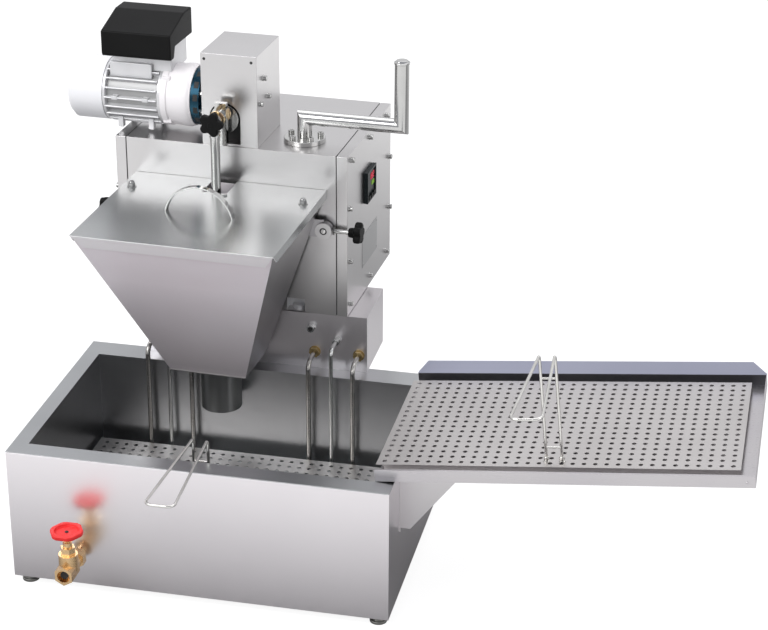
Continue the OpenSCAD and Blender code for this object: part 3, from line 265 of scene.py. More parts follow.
# %% Node group: brushed streaks
def socket_kind(value):
    if value is None:
        return "NodeSocketMaterial"
    if isinstance(value, tuple):
        return "NodeSocketColor" if len(value) == 4 else "NodeSocketVector"
    return "NodeSocketInt" if isinstance(value, int) else "NodeSocketFloat"


def add_inputs(tree, inputs):
    for label, value in inputs.items():
        label = label.replace("_", " ")
        socket = tree.interface.new_socket(label, in_out="INPUT", socket_type=socket_kind(value))
        if value is not None:
            socket.default_value = value


def new_group(name, outputs, **inputs):
    group = bpy.data.node_groups.new(name, "ShaderNodeTree")
    add_inputs(group, inputs)
    for label, kind in outputs.items():
        group.interface.new_socket(label, in_out="OUTPUT", socket_type=kind)
    return group, group.nodes.new("NodeGroupInput"), group.nodes.new("NodeGroupOutput")


streaks, entry, leave = new_group(
    "brushed_streaks", {"Roughness": "NodeSocketFloat", "Height": "NodeSocketFloat"},
    Fine=(6.0, 700.0, 700.0), Contrast=0.06, Middle=0.3)
place = node_of(streaks, "ShaderNodeTexCoord")
stretch = node_of(streaks, "ShaderNodeVectorMath", {"operation": "MULTIPLY"})
grain = node_of(streaks, "ShaderNodeTexNoise", Scale=1.0, Detail=4.0)
spread = math_node(streaks, "SUBTRACT", 0.5)
scale = math_node(streaks, "MULTIPLY_ADD")
wire(streaks,
     (place, "Object", stretch, 0),
     (entry, "Fine", stretch, 1),
     (stretch, 0, grain, "Vector"),
     (grain, "Fac", spread, 0),
     (spread, 0, scale, 0),
     (entry, "Contrast", scale, 1),
     (entry, "Middle", scale, 2),
     (scale, 0, leave, "Roughness"),
     (grain, "Fac", leave, "Height"))
print("streaks", len(streaks.nodes), "nodes")

# %% [markdown]
# The cloudy patches are a much larger noise, which blends between a clean and a dull colour.

# %% Node group: cloudy patches
clouds, entry, leave = new_group(
    "cloudy_patches", {"Color": "NodeSocketColor"},
    Clean=(*grey(0.8), 1), Dull=(*grey(0.7), 1), Size=5.0)
place = node_of(clouds, "ShaderNodeTexCoord")
mist = node_of(clouds, "ShaderNodeTexNoise", Detail=3.0)
steps = node_of(clouds, "ShaderNodeMapRange", From_Min=0.35, From_Max=0.7)
blend_colours = node_of(clouds, "ShaderNodeMix", {"data_type": "RGBA"})
wire(clouds,
     (place, "Object", mist, "Vector"),
     (entry, "Size", mist, "Scale"),
     (mist, "Fac", steps, "Value"),
     (steps, "Result", blend_colours, "Factor"),
     (entry, "Clean", blend_colours, 6),
     (entry, "Dull", blend_colours, 7),
     (blend_colours, 2, leave, "Color"))
print("patches", len(clouds.nodes), "nodes")

# %% [markdown]
# A third group weakens any colour from one height down to another, so a surface gets darker towards
# the bottom and the darkening fades out upwards without an edge.

# %% Node group: darker below
darker_below, entry, leave = new_group(
    "darker_below", {"Color": "NodeSocketColor"},
    Color=(*grey(0.8), 1), Low=0.0, High=1.0, Least=0.5)
place = node_of(darker_below, "ShaderNodeTexCoord")
axes = node_of(darker_below, "ShaderNodeSeparateXYZ")
share = node_of(darker_below, "ShaderNodeMapRange")
weaken = node_of(darker_below, "ShaderNodeVectorMath", {"operation": "SCALE"})
wire(darker_below,
     (place, "Object", axes, 0),
     (axes, "Z", share, "Value"),
     (entry, "Low", share, "From Min"),
     (entry, "High", share, "From Max"),
     (entry, "Least", share, "To Min"),
     (entry, "Color", weaken, 0),
     (share, "Result", weaken, "Scale"),
     (weaken, 0, leave, "Color"))
print("groups", [g.name for g in bpy.data.node_groups])

# %% [markdown]
# A finish is one call: the two colours of its patches, its roughness with the streaks' contrast and
# direction, and how deep the streaks lie. What is the same all over is set on the shader's own sockets.

# %% Helper: a finish
ALONG_X = (5.0, 900.0, 900.0)
ALONG_Y = (900.0, 5.0, 900.0)
ALONG_Z = (900.0, 900.0, 5.0)
CAST = (420.0, 420.0, 420.0)
STREAK_DEPTH = 0.0005


def finish(name, clean, dull, roughness, contrast, grain=ALONG_X, metallic=1.0, depth=0.02,
           patches=4.0, coat=0.0, shine=0.5, fade=None):
    material = bpy.data.materials.new(name)
    tree = node_tree_of(material)
    output = node_of(tree, "ShaderNodeOutputMaterial")
    shader = node_of(tree, "ShaderNodeBsdfPrincipled", Metallic=metallic, Coat_Weight=coat,
                     Specular_IOR_Level=shine)
    group = {"node_tree": clouds}
    colour = node_of(tree, "ShaderNodeGroup", group, Clean=(*clean, 1), Dull=(*dull, 1), Size=patches)
    group = {"node_tree": streaks}
    rub = node_of(tree, "ShaderNodeGroup", group, Fine=grain, Contrast=contrast, Middle=roughness)
    relief = node_of(tree, "ShaderNodeBump", Strength=depth, Distance=STREAK_DEPTH)
    if fade:
        low, high, least = fade
        group = {"node_tree": darker_below}
        darker = node_of(tree, "ShaderNodeGroup", group, Low=low, High=high, Least=least)
        wire(tree, (colour, "Color", darker, "Color"))
        colour = darker
    wire(tree,
         (colour, "Color", shader, "Base Color"),
         (rub, "Roughness", shader, "Roughness"),
         (rub, "Height", relief, "Height"),
         (relief, "Normal", shader, "Normal"),
         (shader, "BSDF", output, "Surface"))
    return material


FINISH = {}


def slot_finish(name, *look, **more):
    FINISH[name] = finish(name, *look, **more)


print("finish helper ready")

# %% [markdown]
# Every slot of the record has one finish. The steels come first: folded sheet is brushed along its
# length, tubes and screws are polished, and castings have no direction at all.

# %% Finishes of steel and aluminium
slot_finish("casing_steel", (0.82, 0.79, 0.81), (0.79, 0.76, 0.78), 0.30, 0.08)
slot_finish("basin_steel", (0.46, 0.47, 0.48), (0.40, 0.41, 0.42), 0.30, 0.08)
slot_finish("bracket_steel", (0.68, 0.66, 0.67), (0.62, 0.60, 0.61), 0.34, 0.08)
slot_finish("element_steel", (0.46, 0.45, 0.43), (0.34, 0.33, 0.31), 0.26, 0.10, CAST, patches=30.0)
slot_finish("probe_steel", (0.62, 0.63, 0.62), (0.50, 0.51, 0.50), 0.18, 0.06, CAST, patches=30.0)
slot_finish("wire_steel", (0.72, 0.71, 0.68), (0.62, 0.61, 0.58), 0.18, 0.08, CAST, patches=20.0)
slot_finish("perforated_steel", (0.55, 0.53, 0.52), (0.50, 0.48, 0.47), 0.40, 0.08)
slot_finish("tray_steel", (0.57, 0.55, 0.56), (0.53, 0.51, 0.53), 0.28, 0.04, depth=0.01)
slot_finish("head_steel", (0.60, 0.59, 0.59), (0.56, 0.55, 0.55), 0.30, 0.08)
slot_finish("hopper_steel", (0.46, 0.45, 0.46), (0.40, 0.39, 0.40), 0.30, 0.06)
slot_finish("shaft_steel", (0.58, 0.58, 0.57), (0.48, 0.48, 0.47), 0.24, 0.08, CAST)
slot_finish("bolt_steel", (0.52, 0.52, 0.51), (0.42, 0.42, 0.41), 0.22, 0.06, CAST, patches=60.0)
slot_finish("polished_steel", (0.57, 0.57, 0.56), (0.51, 0.51, 0.50), 0.13, 0.05, ALONG_Z, patches=12.0)
slot_finish("motor_aluminium", (0.74, 0.74, 0.75), (0.68, 0.68, 0.69), 0.38, 0.08, CAST, metallic=0.45,
            patches=14.0, depth=0.06)
slot_finish("plate_aluminium", (0.46, 0.46, 0.46), (0.42, 0.42, 0.42), 0.42, 0.06, ALONG_Y, metallic=0.9)
print("metals", len(FINISH))

# %% [markdown]
# The other slots follow the same way. Plastic and light paint aren't metallic, so their own colour
# counts and not what they mirror; the fan cowl's enamel has a thin clear coat on top. The glossy blue
# paint and the grey feet mirror the studio nearly as metal does, so they are metallic.

# %% Finishes of brass, paint, rubber and plastic
slot_finish("brass_fittings", (0.80, 0.57, 0.32), (0.72, 0.49, 0.26), 0.27, 0.10, CAST, patches=40.0)
slot_finish("bronze", (0.56, 0.50, 0.42), (0.46, 0.40, 0.34), 0.32, 0.10, CAST)
slot_finish("copper_winding", (0.62, 0.32, 0.18), (0.50, 0.24, 0.12), 0.40, 0.10, CAST)
slot_finish("handwheel_red", (0.86, 0.02, 0.02), (0.78, 0.015, 0.015), 0.45, 0.08, CAST, metallic=0.0,
            patches=30.0)
slot_finish("gearbox_blue", (0.012, 0.050, 0.078), (0.008, 0.036, 0.062), 0.28, 0.08, CAST,
            metallic=0.85, patches=20.0)
slot_finish("cowl_paint", (0.98, 0.98, 1.0), (0.97, 0.97, 0.99), 0.34, 0.06, CAST, metallic=0.0, coat=0.2)
slot_finish("rubber_feet", (0.40, 0.40, 0.38), (0.32, 0.32, 0.30), 0.36, 0.08, CAST)
slot_finish("black_plastic", (0.010, 0.010, 0.010), (0.006, 0.006, 0.006), 0.48, 0.10, CAST,
            metallic=0.0, depth=0.10, shine=0.10)
slot_finish("panel_plastic", (0.66, 0.64, 0.57), (0.60, 0.58, 0.52), 0.45, 0.06, CAST, metallic=0.0)
print("finishes", len(FINISH))

# %% [markdown]
# Some pieces look unlike the rest of their slot: the lid's skirt and the hopper's front are painted
# lighter than their other sheets as painted light, with a painted highlight on the skirt's fold, the tray's
# guard has a painted bluish reflection, the outlet tube a painted dark reflection, and hollows, joints and
# the grooves between the motor's ribs are painted dark as shade.

# %% Finishes of single pieces
GOLD_ZINC = finish("gold_zinc", (0.80, 0.64, 0.38), (0.70, 0.50, 0.34), 0.22, 0.06, CAST, patches=90.0)
# painted shade: black for hollows, joints, pockets, bores and a few small screws
PAINTED_SHADE_BLACK = finish("dark_hollow", (0.02, 0.02, 0.02), (0.01, 0.01, 0.01), 0.60, 0.05, CAST, metallic=0.0)
DULL_BRASS = finish("dull_brass", (0.50, 0.38, 0.19), (0.38, 0.28, 0.13), 0.34, 0.08, CAST, patches=60.0)
SHIELD_CASTING = finish("shield_casting", (0.99, 0.96, 0.97), (0.96, 0.93, 0.94), 0.42, 0.08, CAST,
                        metallic=0.0, patches=14.0)
# painted reflection: a bluish tint for the tray's guard
PAINTED_BLUISH_REFLECTION_STEEL = finish("blued_steel", (0.42, 0.43, 0.52), (0.38, 0.39, 0.48), 0.32, 0.04, depth=0.01)
LID_STEEL = finish("lid_steel", (0.48, 0.49, 0.49), (0.42, 0.43, 0.43), 0.26, 0.03, depth=0.004)
# painted light: lighter copies of the hopper's steel for its front and the lid's skirt, and a white highlight
# for the fold
PAINTED_LIGHT_FRONT_STEEL = finish("front_steel", (0.96, 0.91, 0.95), (0.93, 0.86, 0.90), 0.46, 0.05, metallic=0.45,
                     depth=0.01, fade=(0.38, 0.62, 0.40))
PAINTED_LIGHT_SKIRT_STEEL = finish("skirt_steel", (1.0, 0.97, 0.99), (0.98, 0.95, 0.97), 0.42, 0.05, metallic=0.35,
                     depth=0.01)
PAINTED_FOLD_HIGHLIGHT = finish("fold_shine", (1.0, 1.0, 1.0), (0.99, 0.99, 0.99), 0.60, 0.04, metallic=0.0, depth=0.0)
# painted shade: darker casting between the motor's ribs
PAINTED_SHADE_GROOVES = finish("groove_casting", (0.40, 0.40, 0.40), (0.34, 0.34, 0.34), 0.45, 0.08, CAST,
                        metallic=0.6)
# painted shade: dark steel for the tray's gutter
PAINTED_SHADE_GUTTER = finish("gutter_steel", (0.13, 0.13, 0.14), (0.10, 0.10, 0.11), 0.40, 0.04)
# painted reflection: darker steel for the outlet tube
PAINTED_DARK_REFLECTION_STEEL = finish("smoked_steel", (0.30, 0.31, 0.31), (0.24, 0.25, 0.25), 0.30, 0.06, ALONG_Z)
NUT_STEEL = finish("nut_steel", (0.34, 0.34, 0.34), (0.26, 0.26, 0.26), 0.24, 0.06, CAST, patches=90.0)
METER_CASE = finish("meter_case", (0.012, 0.018, 0.020), (0.008, 0.012, 0.014), 0.34, 0.06, CAST,
                    metallic=0.0, shine=0.15)
print("materials", len(bpy.data.materials))

# %% [markdown]
# The record says which slot each CAD piece belongs to. Every piece gets its slot's finish now, and the
# ones that a dressed copy takes over are replaced further down. The lid's acorn nuts are darker.

# %% Paint the CAD pieces
slot_of = {part["node"]: part["material_slot"] for part in frame["record"]["subparts"]}
for name, node in frame["nodes"].items():
    node.data.materials.clear()
    node.data.materials.append(FINISH[slot_of[name]])
frame["nodes"]["lid_nuts"].data.materials[0] = NUT_STEEL
print("nodes", len(frame["nodes"]))

# %% [markdown]
# A finished mesh is put in place once, by its own axes' matrix, and then rides on one moving body.
# The helper also smooths its faces and keeps its real edges sharp. The large faces of a sheet decide
# the shading, not the narrow folds, so flat sheets stay flat. It then hides the solid it stands for.
# Two shorter helpers turn a drawn shape into a mesh, and put it on the head, where most pieces are.

# %% Helper: put a finished mesh on its body
body_of_node = {n: b for b, names in frame["record"]["behaviour"]["bodies"].items() for n in names}
LARGE_FACES_FIRST = 90


def settle(mesh, name, body, slot, axes=None, stands_for=(), materials=(), sharp_from=35):
    if axes is not None:
        mesh.transform(axes)
    mesh.name = name
    mesh.materials.clear()
    for material in materials or (FINISH[slot],):
        mesh.materials.append(material)
    mesh.shade_smooth()
    mesh.set_sharp_from_angle(angle=math.radians(sharp_from))
    piece = bpy.data.objects.new(name, mesh)
    bpy.context.scene.collection.objects.link(piece)
    even = piece.modifiers.new("even", "WEIGHTED_NORMAL")
    even.keep_sharp = True
    even.weight = LARGE_FACES_FIRST
    bpy.context.view_layer.update()
    smooth = bpy.data.meshes.new_from_object(piece.evaluated_get(bpy.context.evaluated_depsgraph_get()))
    piece.modifiers.clear()
    piece.data = smooth
    if stands_for:
        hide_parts(*stands_for)
    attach(piece, body)
    return piece


def mesh_of(shape):
    mesh = bpy.data.meshes.new("drawn")
    shape.to_mesh(mesh)
    shape.free()
    return mesh


def on_head(shape, name, slot, **more):
    return settle(mesh_of(shape), name, "head", slot, HEAD, **more)


# %% [markdown]
# Sheet steel is folded, so no edge of it is knife sharp: each fold has a small radius that catches a
# line of light. The CAD solids have sharp edges. A copy of such a solid has its loose triangles joined,
# its flat faces cleaned and its edges bevelled; the copy then stands for the solid.

# %% Helper: a copy of a solid with rounded edges
WELD = 2e-5
FLAT_ANGLE, FOLD_ANGLE = math.radians(0.6), math.radians(32)


def round_edges(shape, edges, radius, segments=2, clamp=False):
    bmesh.ops.bevel(shape, geom=edges, offset=radius, segments=segments, profile=0.5, affect="EDGES",
                    clamp_overlap=clamp)


def rounded_copy(name, radius, materials=()):
    shape = bmesh.new()
    shape.from_mesh(frame["nodes"][name].data)
    bmesh.ops.remove_doubles(shape, verts=shape.verts, dist=WELD)
    bmesh.ops.dissolve_limit(shape, angle_limit=FLAT_ANGLE, verts=shape.verts, edges=shape.edges)
    sharp = [e for e in shape.edges if e.is_manifold and e.calc_face_angle(0) > FOLD_ANGLE]
    round_edges(shape, sharp, radius, clamp=True)
    return settle(mesh_of(shape), name + "_rounded", body_of_node[name], slot_of[name], stands_for=(name,),
                  materials=materials)


print("rounding helper ready")

# %% [markdown]
# These solids already have the right form, so they only need their folds. The radius follows what the
# piece is: half a millimetre on thin sheet, and two or more on cast and moulded pieces.

# %% Folded, cast and moulded pieces
FOLDED = {
    "tank_casing": 0.0015, "inner_tank": 0.0008, "heater_box": 0.0015, "head_cover_left": 0.0012,
    "head_cover_right": 0.0012, "gear_cover": 0.0015, "tray_bracket": 0.001, "hopper_lid": 0.0012,
    "hopper": 0.0007, "valve_body": 0.0010, "valve_bonnet": 0.0008, "valve_handwheel": 0.0025,
    "swivel_handle": 0.0006, "top_flange": 0.001, "element_nuts": 0.0008, "glands": 0.0006, "feet": 0.001,
    "flange_bolts": 0.0006, "lid_handle": 0.0006, "conrod": 0.0004, "crank_shaft": 0.0003,
    "fan_cowl": 0.004, "key_left": 0.0005, "key_middle": 0.0005, "key_right": 0.0005, "outlet_tube": 0.0006,
    "rear_bracket": 0.0006, "valve_gate": 0.0004, "electrical_panel": 0.001, "hopper_pins": 0.0008,
}
# The outlet tube takes a painted dark reflection; the lid and the hopper take painted light.
OWN_FINISH = {
    "element_nuts": (DULL_BRASS,), "outlet_tube": (PAINTED_DARK_REFLECTION_STEEL,),
    "hopper_lid": (LID_STEEL, PAINTED_LIGHT_SKIRT_STEEL, PAINTED_FOLD_HIGHLIGHT), "hopper": (FINISH["hopper_steel"], PAINTED_LIGHT_FRONT_STEEL),
}
dressed = {}
for name, radius in FOLDED.items():
    dressed[name] = rounded_copy(name, radius, materials=OWN_FINISH.get(name, ()))
    print(dressed[name].name, len(dressed[name].data.polygons), "faces")

# %% [markdown]
# A few of these pieces need more than one finish. Their faces are told apart by where they lie and
# which way they look. The lid's front skirt is painted lighter, as painted light, and the fold above it
# gets a painted white highlight. The hopper's front wall is painted lighter than its sides, and darker
# towards the bottom.

# %% Finishes of the lid and the hopper
SKIRT_LINE, LID_UNDERSIDE = -330.0, 714.0
LEAST_WALL = 0.002
head_inverse = HEAD.inverted()


def paint_where(piece, number, chosen, inverse=head_inverse):
    for face in piece.data.polygons:
        if chosen(face, inverse @ face.center):
            face.material_index = number


lid, hopper = dressed["hopper_lid"], dressed["hopper"]
# painted light: the skirt is lighter, the fold faces get a white painted highlight, the hopper's front wall
# is lighter
paint_where(lid, 1, lambda face, spot: spot.y < SKIRT_LINE and spot.z < LID_UNDERSIDE)
paint_where(lid, 2, lambda face, spot: face.normal.y < -0.1 and spot.z > LID_UNDERSIDE)
paint_where(hopper, 1, lambda face, spot: face.normal.y < -0.5 and face.area > LEAST_WALL)
print("second finishes", [sum(f.material_index > 0 for f in p.data.polygons) for p in (lid, hopper)])

# %% [markdown]
# The open joints beside the head's covers lie in shadow, so the sleeve inside them is painted dark as
# shade. The gearbox is painted blue, but its half inside the cover is painted dark as shade. The tray's
# guard at the back has a painted bluish reflection, and the gutter at its foot is painted dark as shadow.

# %% Head shell, gearbox and tray
HEAD_W, COVER_W, JOINT = 519.5, 23.4, 2.0
SHELL_LEFT, SHELL_RIGHT = -HEAD_W + COVER_W + JOINT, -COVER_W - JOINT
GEAR_COVER_LEFT = -321.4
GUTTER_Y, GUARD_Y, BEHIND_GUARD = (488.0, 494.5), 490.0, 497.0
tray_inverse = TRAY.inverted()
shell = rounded_copy("head_shell", 0.0005, materials=(FINISH["head_steel"], PAINTED_SHADE_BLACK))
paint_where(shell, 1, lambda face, spot: spot.x > SHELL_RIGHT + 0.2 or spot.x < SHELL_LEFT - 0.2)
gearbox = rounded_copy("gearbox_housing", 0.002, materials=(FINISH["gearbox_blue"], PAINTED_SHADE_BLACK))
# painted shade: the gearbox's half inside the cover is black
paint_where(gearbox, 1, lambda face, spot: spot.x > GEAR_COVER_LEFT - 1.0)
tray = rounded_copy("drain_tray", 0.0007, materials=(FINISH["tray_steel"], PAINTED_BLUISH_REFLECTION_STEEL, PAINTED_SHADE_GUTTER))
paint_where(tray, 1, lambda face, spot: spot.y > GUARD_Y and face.normal.y < -0.2 or spot.y > BEHIND_GUARD,
            tray_inverse)
paint_where(tray, 2, lambda face, spot: GUTTER_Y[0] < spot.y < GUTTER_Y[1] and face.normal.y < -0.7,
            tray_inverse)
print("second finishes", [sum(f.material_index > 0 for f in p.data.polygons) for p in (shell, gearbox, tray)])

# %% [markdown]
# The strainer and the tray's plate are sheets with hundreds of punched holes. Drawing each hole by hand
# would never end, and cutting them with booleans is slow. Geometry Nodes do it in one go. Three helpers
# come first: one starts a tree with its inputs, one ends it with a material, and one grows a mesh. The
# input without a value is the material.

# %% Helpers: Geometry Nodes
def geometry_tree(name, **inputs):
    tree = bpy.data.node_groups.new(name, "GeometryNodeTree")
    tree.interface.new_socket("Geometry", in_out="INPUT", socket_type="NodeSocketGeometry")
    add_inputs(tree, inputs)
    tree.interface.new_socket("Geometry", in_out="OUTPUT", socket_type="NodeSocketGeometry")
    return tree, tree.nodes.new("NodeGroupInput"), tree.nodes.new("NodeGroupOutput")


def finish_tree(tree, last, output, entry, leave):
    real = node_of(tree, "GeometryNodeRealizeInstances")
    paint = node_of(tree, "GeometryNodeSetMaterial")
    wire(tree,
         (last, output, real, "Geometry"),
         (real, "Geometry", paint, "Geometry"),
         (entry, "Material", paint, "Material"),
         (paint, "Geometry", leave, "Geometry"))


def grown(tree, name, seed_mesh=None, **values):
    seed = bpy.data.objects.new(name + "_seed", seed_mesh or bpy.data.meshes.new(name + "_seed"))
    bpy.context.scene.collection.objects.link(seed)
    modifier = seed.modifiers.new("grow", "NODES")
    modifier.node_group = tree
    for item in tree.interface.items_tree:
        if item.in_out == "INPUT" and item.name.replace(" ", "_") in values:
            modifier[item.identifier] = values[item.name.replace(" ", "_")]
    bpy.context.view_layer.update()
    evaluated = seed.evaluated_get(bpy.context.evaluated_depsgraph_get())
    mesh = bpy.data.meshes.new_from_object(evaluated)
    seed.modifiers.clear()
    bpy.data.objects.remove(seed)
    return mesh


print("Geometry Nodes helpers ready")

# %% [markdown]
# In the tree of a perforated sheet a grid of points carries a circle each and a rectangle goes round
# them. Fill Curve makes the flat sheet with its holes, and Extrude gives it thickness. All sizes are
# inputs, so one tree makes both plates.

# %% Geometry Nodes: a perforated sheet
sheet_tree, entry, leave = geometry_tree(
    "perforated_sheet", Width=700.0, Depth=390.0, Thickness=1.5, Columns=32, Rows=17, Pitch=22.5,
    Hole_Radius=3.5, Material=None)
spans = []
for count in ("Columns", "Rows"):
    steps = math_node(sheet_tree, "SUBTRACT", 1.0)
    span = math_node(sheet_tree, "MULTIPLY")
    wire(sheet_tree,
         (entry, count, steps, 0),
         (steps, 0, span, 0),
         (entry, "Pitch", span, 1))
    spans.append(span)
grid = node_of(sheet_tree, "GeometryNodeMeshGrid")
ring = node_of(sheet_tree, "GeometryNodeCurvePrimitiveCircle", Resolution=14)
punch = node_of(sheet_tree, "GeometryNodeInstanceOnPoints")
holes = node_of(sheet_tree, "GeometryNodeRealizeInstances")
border = node_of(sheet_tree, "GeometryNodeCurvePrimitiveQuadrilateral")
outline = node_of(sheet_tree, "GeometryNodeJoinGeometry")
fill = node_of(sheet_tree, "GeometryNodeFillCurve")
raise_top = node_of(sheet_tree, "GeometryNodeExtrudeMesh", Individual=False)
underside = node_of(sheet_tree, "GeometryNodeFlipFaces")
closed = node_of(sheet_tree, "GeometryNodeJoinGeometry")
weld = node_of(sheet_tree, "GeometryNodeMergeByDistance", Distance=0.01)
wire(sheet_tree,
     (spans[0], 0, grid, "Size X"),
     (spans[1], 0, grid, "Size Y"),
     (entry, "Columns", grid, "Vertices X"),
     (entry, "Rows", grid, "Vertices Y"),
     (entry, "Hole Radius", ring, "Radius"),
     (grid, "Mesh", punch, "Points"),
     (ring, "Curve", punch, "Instance"),
     (punch, "Instances", holes, "Geometry"),
     (entry, "Width", border, "Width"),
     (entry, "Depth", border, "Height"),
     (holes, "Geometry", outline, "Geometry"),
     (border, "Curve", outline, "Geometry"),
     (outline, "Geometry", fill, "Curve"),
     (fill, "Mesh", raise_top, "Mesh"),
     (entry, "Thickness", raise_top, "Offset Scale"),
     (fill, "Mesh", underside, "Mesh"),
     (raise_top, "Mesh", closed, "Geometry"),
     (underside, "Mesh", closed, "Geometry"),
     (closed, "Geometry", weld, "Geometry"))
finish_tree(sheet_tree, weld, "Geometry", entry, leave)
print("perforated sheet tree", len(sheet_tree.nodes), "nodes")

# %% [markdown]
# Both plates stand on two folded skirts. The skirts are plain strips, joined to the punched sheet in
# one mesh, which then takes the place of the CAD node. Fill Curve may leave the sheet inside out, so
# the top is tested and all faces are turned if it looks down.

# %% The strainer and the tray's plate
SHEET, STRAINER_TOP = 1.5, 101.0


def add_box(shape, x1, x2, y1, y2, z1, z2, bevel=0.0):
    place = Matrix.Translation(((x1 + x2) / 2, (y1 + y2) / 2, (z1 + z2) / 2))
    size = Matrix.Diagonal((x2 - x1, y2 - y1, z2 - z1, 1))
    made = bmesh.ops.create_cube(shape, size=1.0, matrix=place @ size)
    if bevel:
        edges = {e for v in made["verts"] for e in v.link_edges}
        round_edges(shape, list(edges), bevel)


def perforated_plate(name, box, columns, rows, pitch, hole_radius, skirts, axes, top):
    x1, x2, y1, y2 = box
    sheet = grown(sheet_tree, name, Width=x2 - x1, Depth=y2 - y1, Thickness=SHEET, Columns=columns,
                  Rows=rows, Pitch=pitch, Hole_Radius=hole_radius, Material=FINISH["perforated_steel"])
    sheet.transform(Matrix.Translation(((x1 + x2) / 2, (y1 + y2) / 2, top - SHEET)))
    shape = bmesh.new()
    shape.from_mesh(sheet)
    for skirt in skirts:
        add_box(shape, *skirt)
    upper = [face for face in shape.faces if face.calc_center_median().z > top - 0.01]
    if sum(face.normal.z * face.calc_area() for face in upper) < 0:
        bmesh.ops.reverse_faces(shape, faces=shape.faces)
    return settle(mesh_of(shape), name + "_perforated", body_of_node[name], "perforated_steel", axes, (name,))


strainer = perforated_plate(
    "tank_strainer", (42.4, 757.6, 47.3, 444.5), 31, 17, 22.5, 4.6,
    [(42.4, 43.9, 57.3, 434.5, 64.3, 99.6), (756.1, 757.6, 57.3, 434.5, 64.3, 99.6)], TANK, STRAINER_TOP)
plate = perforated_plate(
    "tray_plate", (-46.0, 676.0, 83.5, 471.5), 32, 17, 22.3, 4.7,
    [(-30.0, 676.0, 83.5, 85.0, -15.2, -1.4), (-30.0, 676.0, 470.0, 471.5, -15.2, -1.4)], TRAY, 0.0)
print("plates", len(strainer.data.polygons), len(plate.data.polygons), "faces")

# %% [markdown]
# Turned pieces, such as washers, hubs and rods, are a profile turned round an axis, as on a lathe. The
# profile is a list of (distance along the axis, radius); it starts and ends on the axis for a solid
# piece, or closes on itself for a ring.

# %% Helper: a turned piece
FRONT, RIGHT, UP = (0, -1, 0), (1, 0, 0), (0, 0, 1)
SIDES = (("left", -1), ("right", 1))


def axes_at(place, direction):
    turn = Vector(direction).to_track_quat("Z", "Y").to_matrix().to_4x4()
    return Matrix.Translation(place) @ turn


def turned(shape, profile, place, direction, segments=40, ring=False):
    axes = axes_at(place, direction)
    angles = [2 * math.pi * i / segments for i in range(segments)]
    rows = []
    for along, radius in profile:
        around = [(radius * math.cos(a), radius * math.sin(a)) for a in angles] if radius else [(0, 0)]
        rows.append([shape.verts.new(axes @ Vector((x, y, along))) for x, y in around])
    pairs = list(zip(rows, rows[1:])) + ([(rows[-1], rows[0])] if ring else [])
    made = []
    for low, high in pairs:
        for i in range(segments):
            k = i + 1
            corners = [low[i % len(low)], low[k % len(low)], high[k % len(high)], high[i % len(high)]]
            unique = list(dict.fromkeys(corners))
            if len(unique) > 2:
                made.append(shape.faces.new(unique))
    bmesh.ops.recalc_face_normals(shape, faces=made)


def turned_shape(profile, place, direction, segments=40, ring=False):
    shape = bmesh.new()
    turned(shape, profile, place, direction, segments, ring)
    return shape


print("lathe ready")

# %% [markdown]
# The black knobs have five soft lobes, so a hand can turn them with oily fingers. Their outline is one
# formula, a circle whose radius swells five times a turn, and the rim is rounded in a few steps.

# %% Star knobs
LOBES, POINTS = 5, 80
RIM = ((0.0, 0.86), (0.06, 0.94), (0.20, 1.0), (0.72, 1.0), (0.90, 0.95), (1.0, 0.84))
CRANK_X, PIN_Z, EYE_FRONT = -270.0, 870.1, 74.0


def star(shape, radius, depth, place, direction):
    axes = axes_at(place, direction)
    rows = []
    for along, scale in RIM:
        row = []
        for i in range(POINTS):
            angle = 2 * math.pi * i / POINTS
            swell = 0.87 + 0.14 * math.cos(LOBES * angle) - 0.02 * math.cos(2 * LOBES * angle)
            reach = radius * scale * swell
            corner = Vector((reach * math.cos(angle), reach * math.sin(angle), along * depth))
            row.append(shape.verts.new(axes @ corner))
        rows.append(row)
    made = [shape.faces.new((low[i], low[(i + 1) % POINTS], high[(i + 1) % POINTS], high[i]))
            for low, high in zip(rows, rows[1:]) for i in range(POINTS)]
    made.append(shape.faces.new(rows[0]))
    made.append(shape.faces.new(rows[-1]))
    bmesh.ops.recalc_face_normals(shape, faces=made)


shape = bmesh.new()
collar = ((0, 0), (0, 11), (0.8, 12), (4, 12), (4, 0))
turned(shape, collar, (CRANK_X, -EYE_FRONT - 0.3, PIN_Z), FRONT)
star(shape, 27.2, 15.0, (CRANK_X, -EYE_FRONT - 3.3, PIN_Z), FRONT)
turned(shape, ((0, 0), (0, 6.5), (0.8, 6.0), (1.2, 0)), (CRANK_X, -EYE_FRONT - 18.3, PIN_Z), FRONT)
knob = settle(mesh_of(shape), "rod_knob_star", "knob", "black_plastic", HEAD, ("rod_knob",))
print("knob", len(knob.data.polygons), "faces")

# %% [markdown]
# A clamp screw is a bright steel rod with a moulded black knob on its end. In the CAD it is one solid;
# here the rod and the knob are separate pieces, because they have separate finishes.

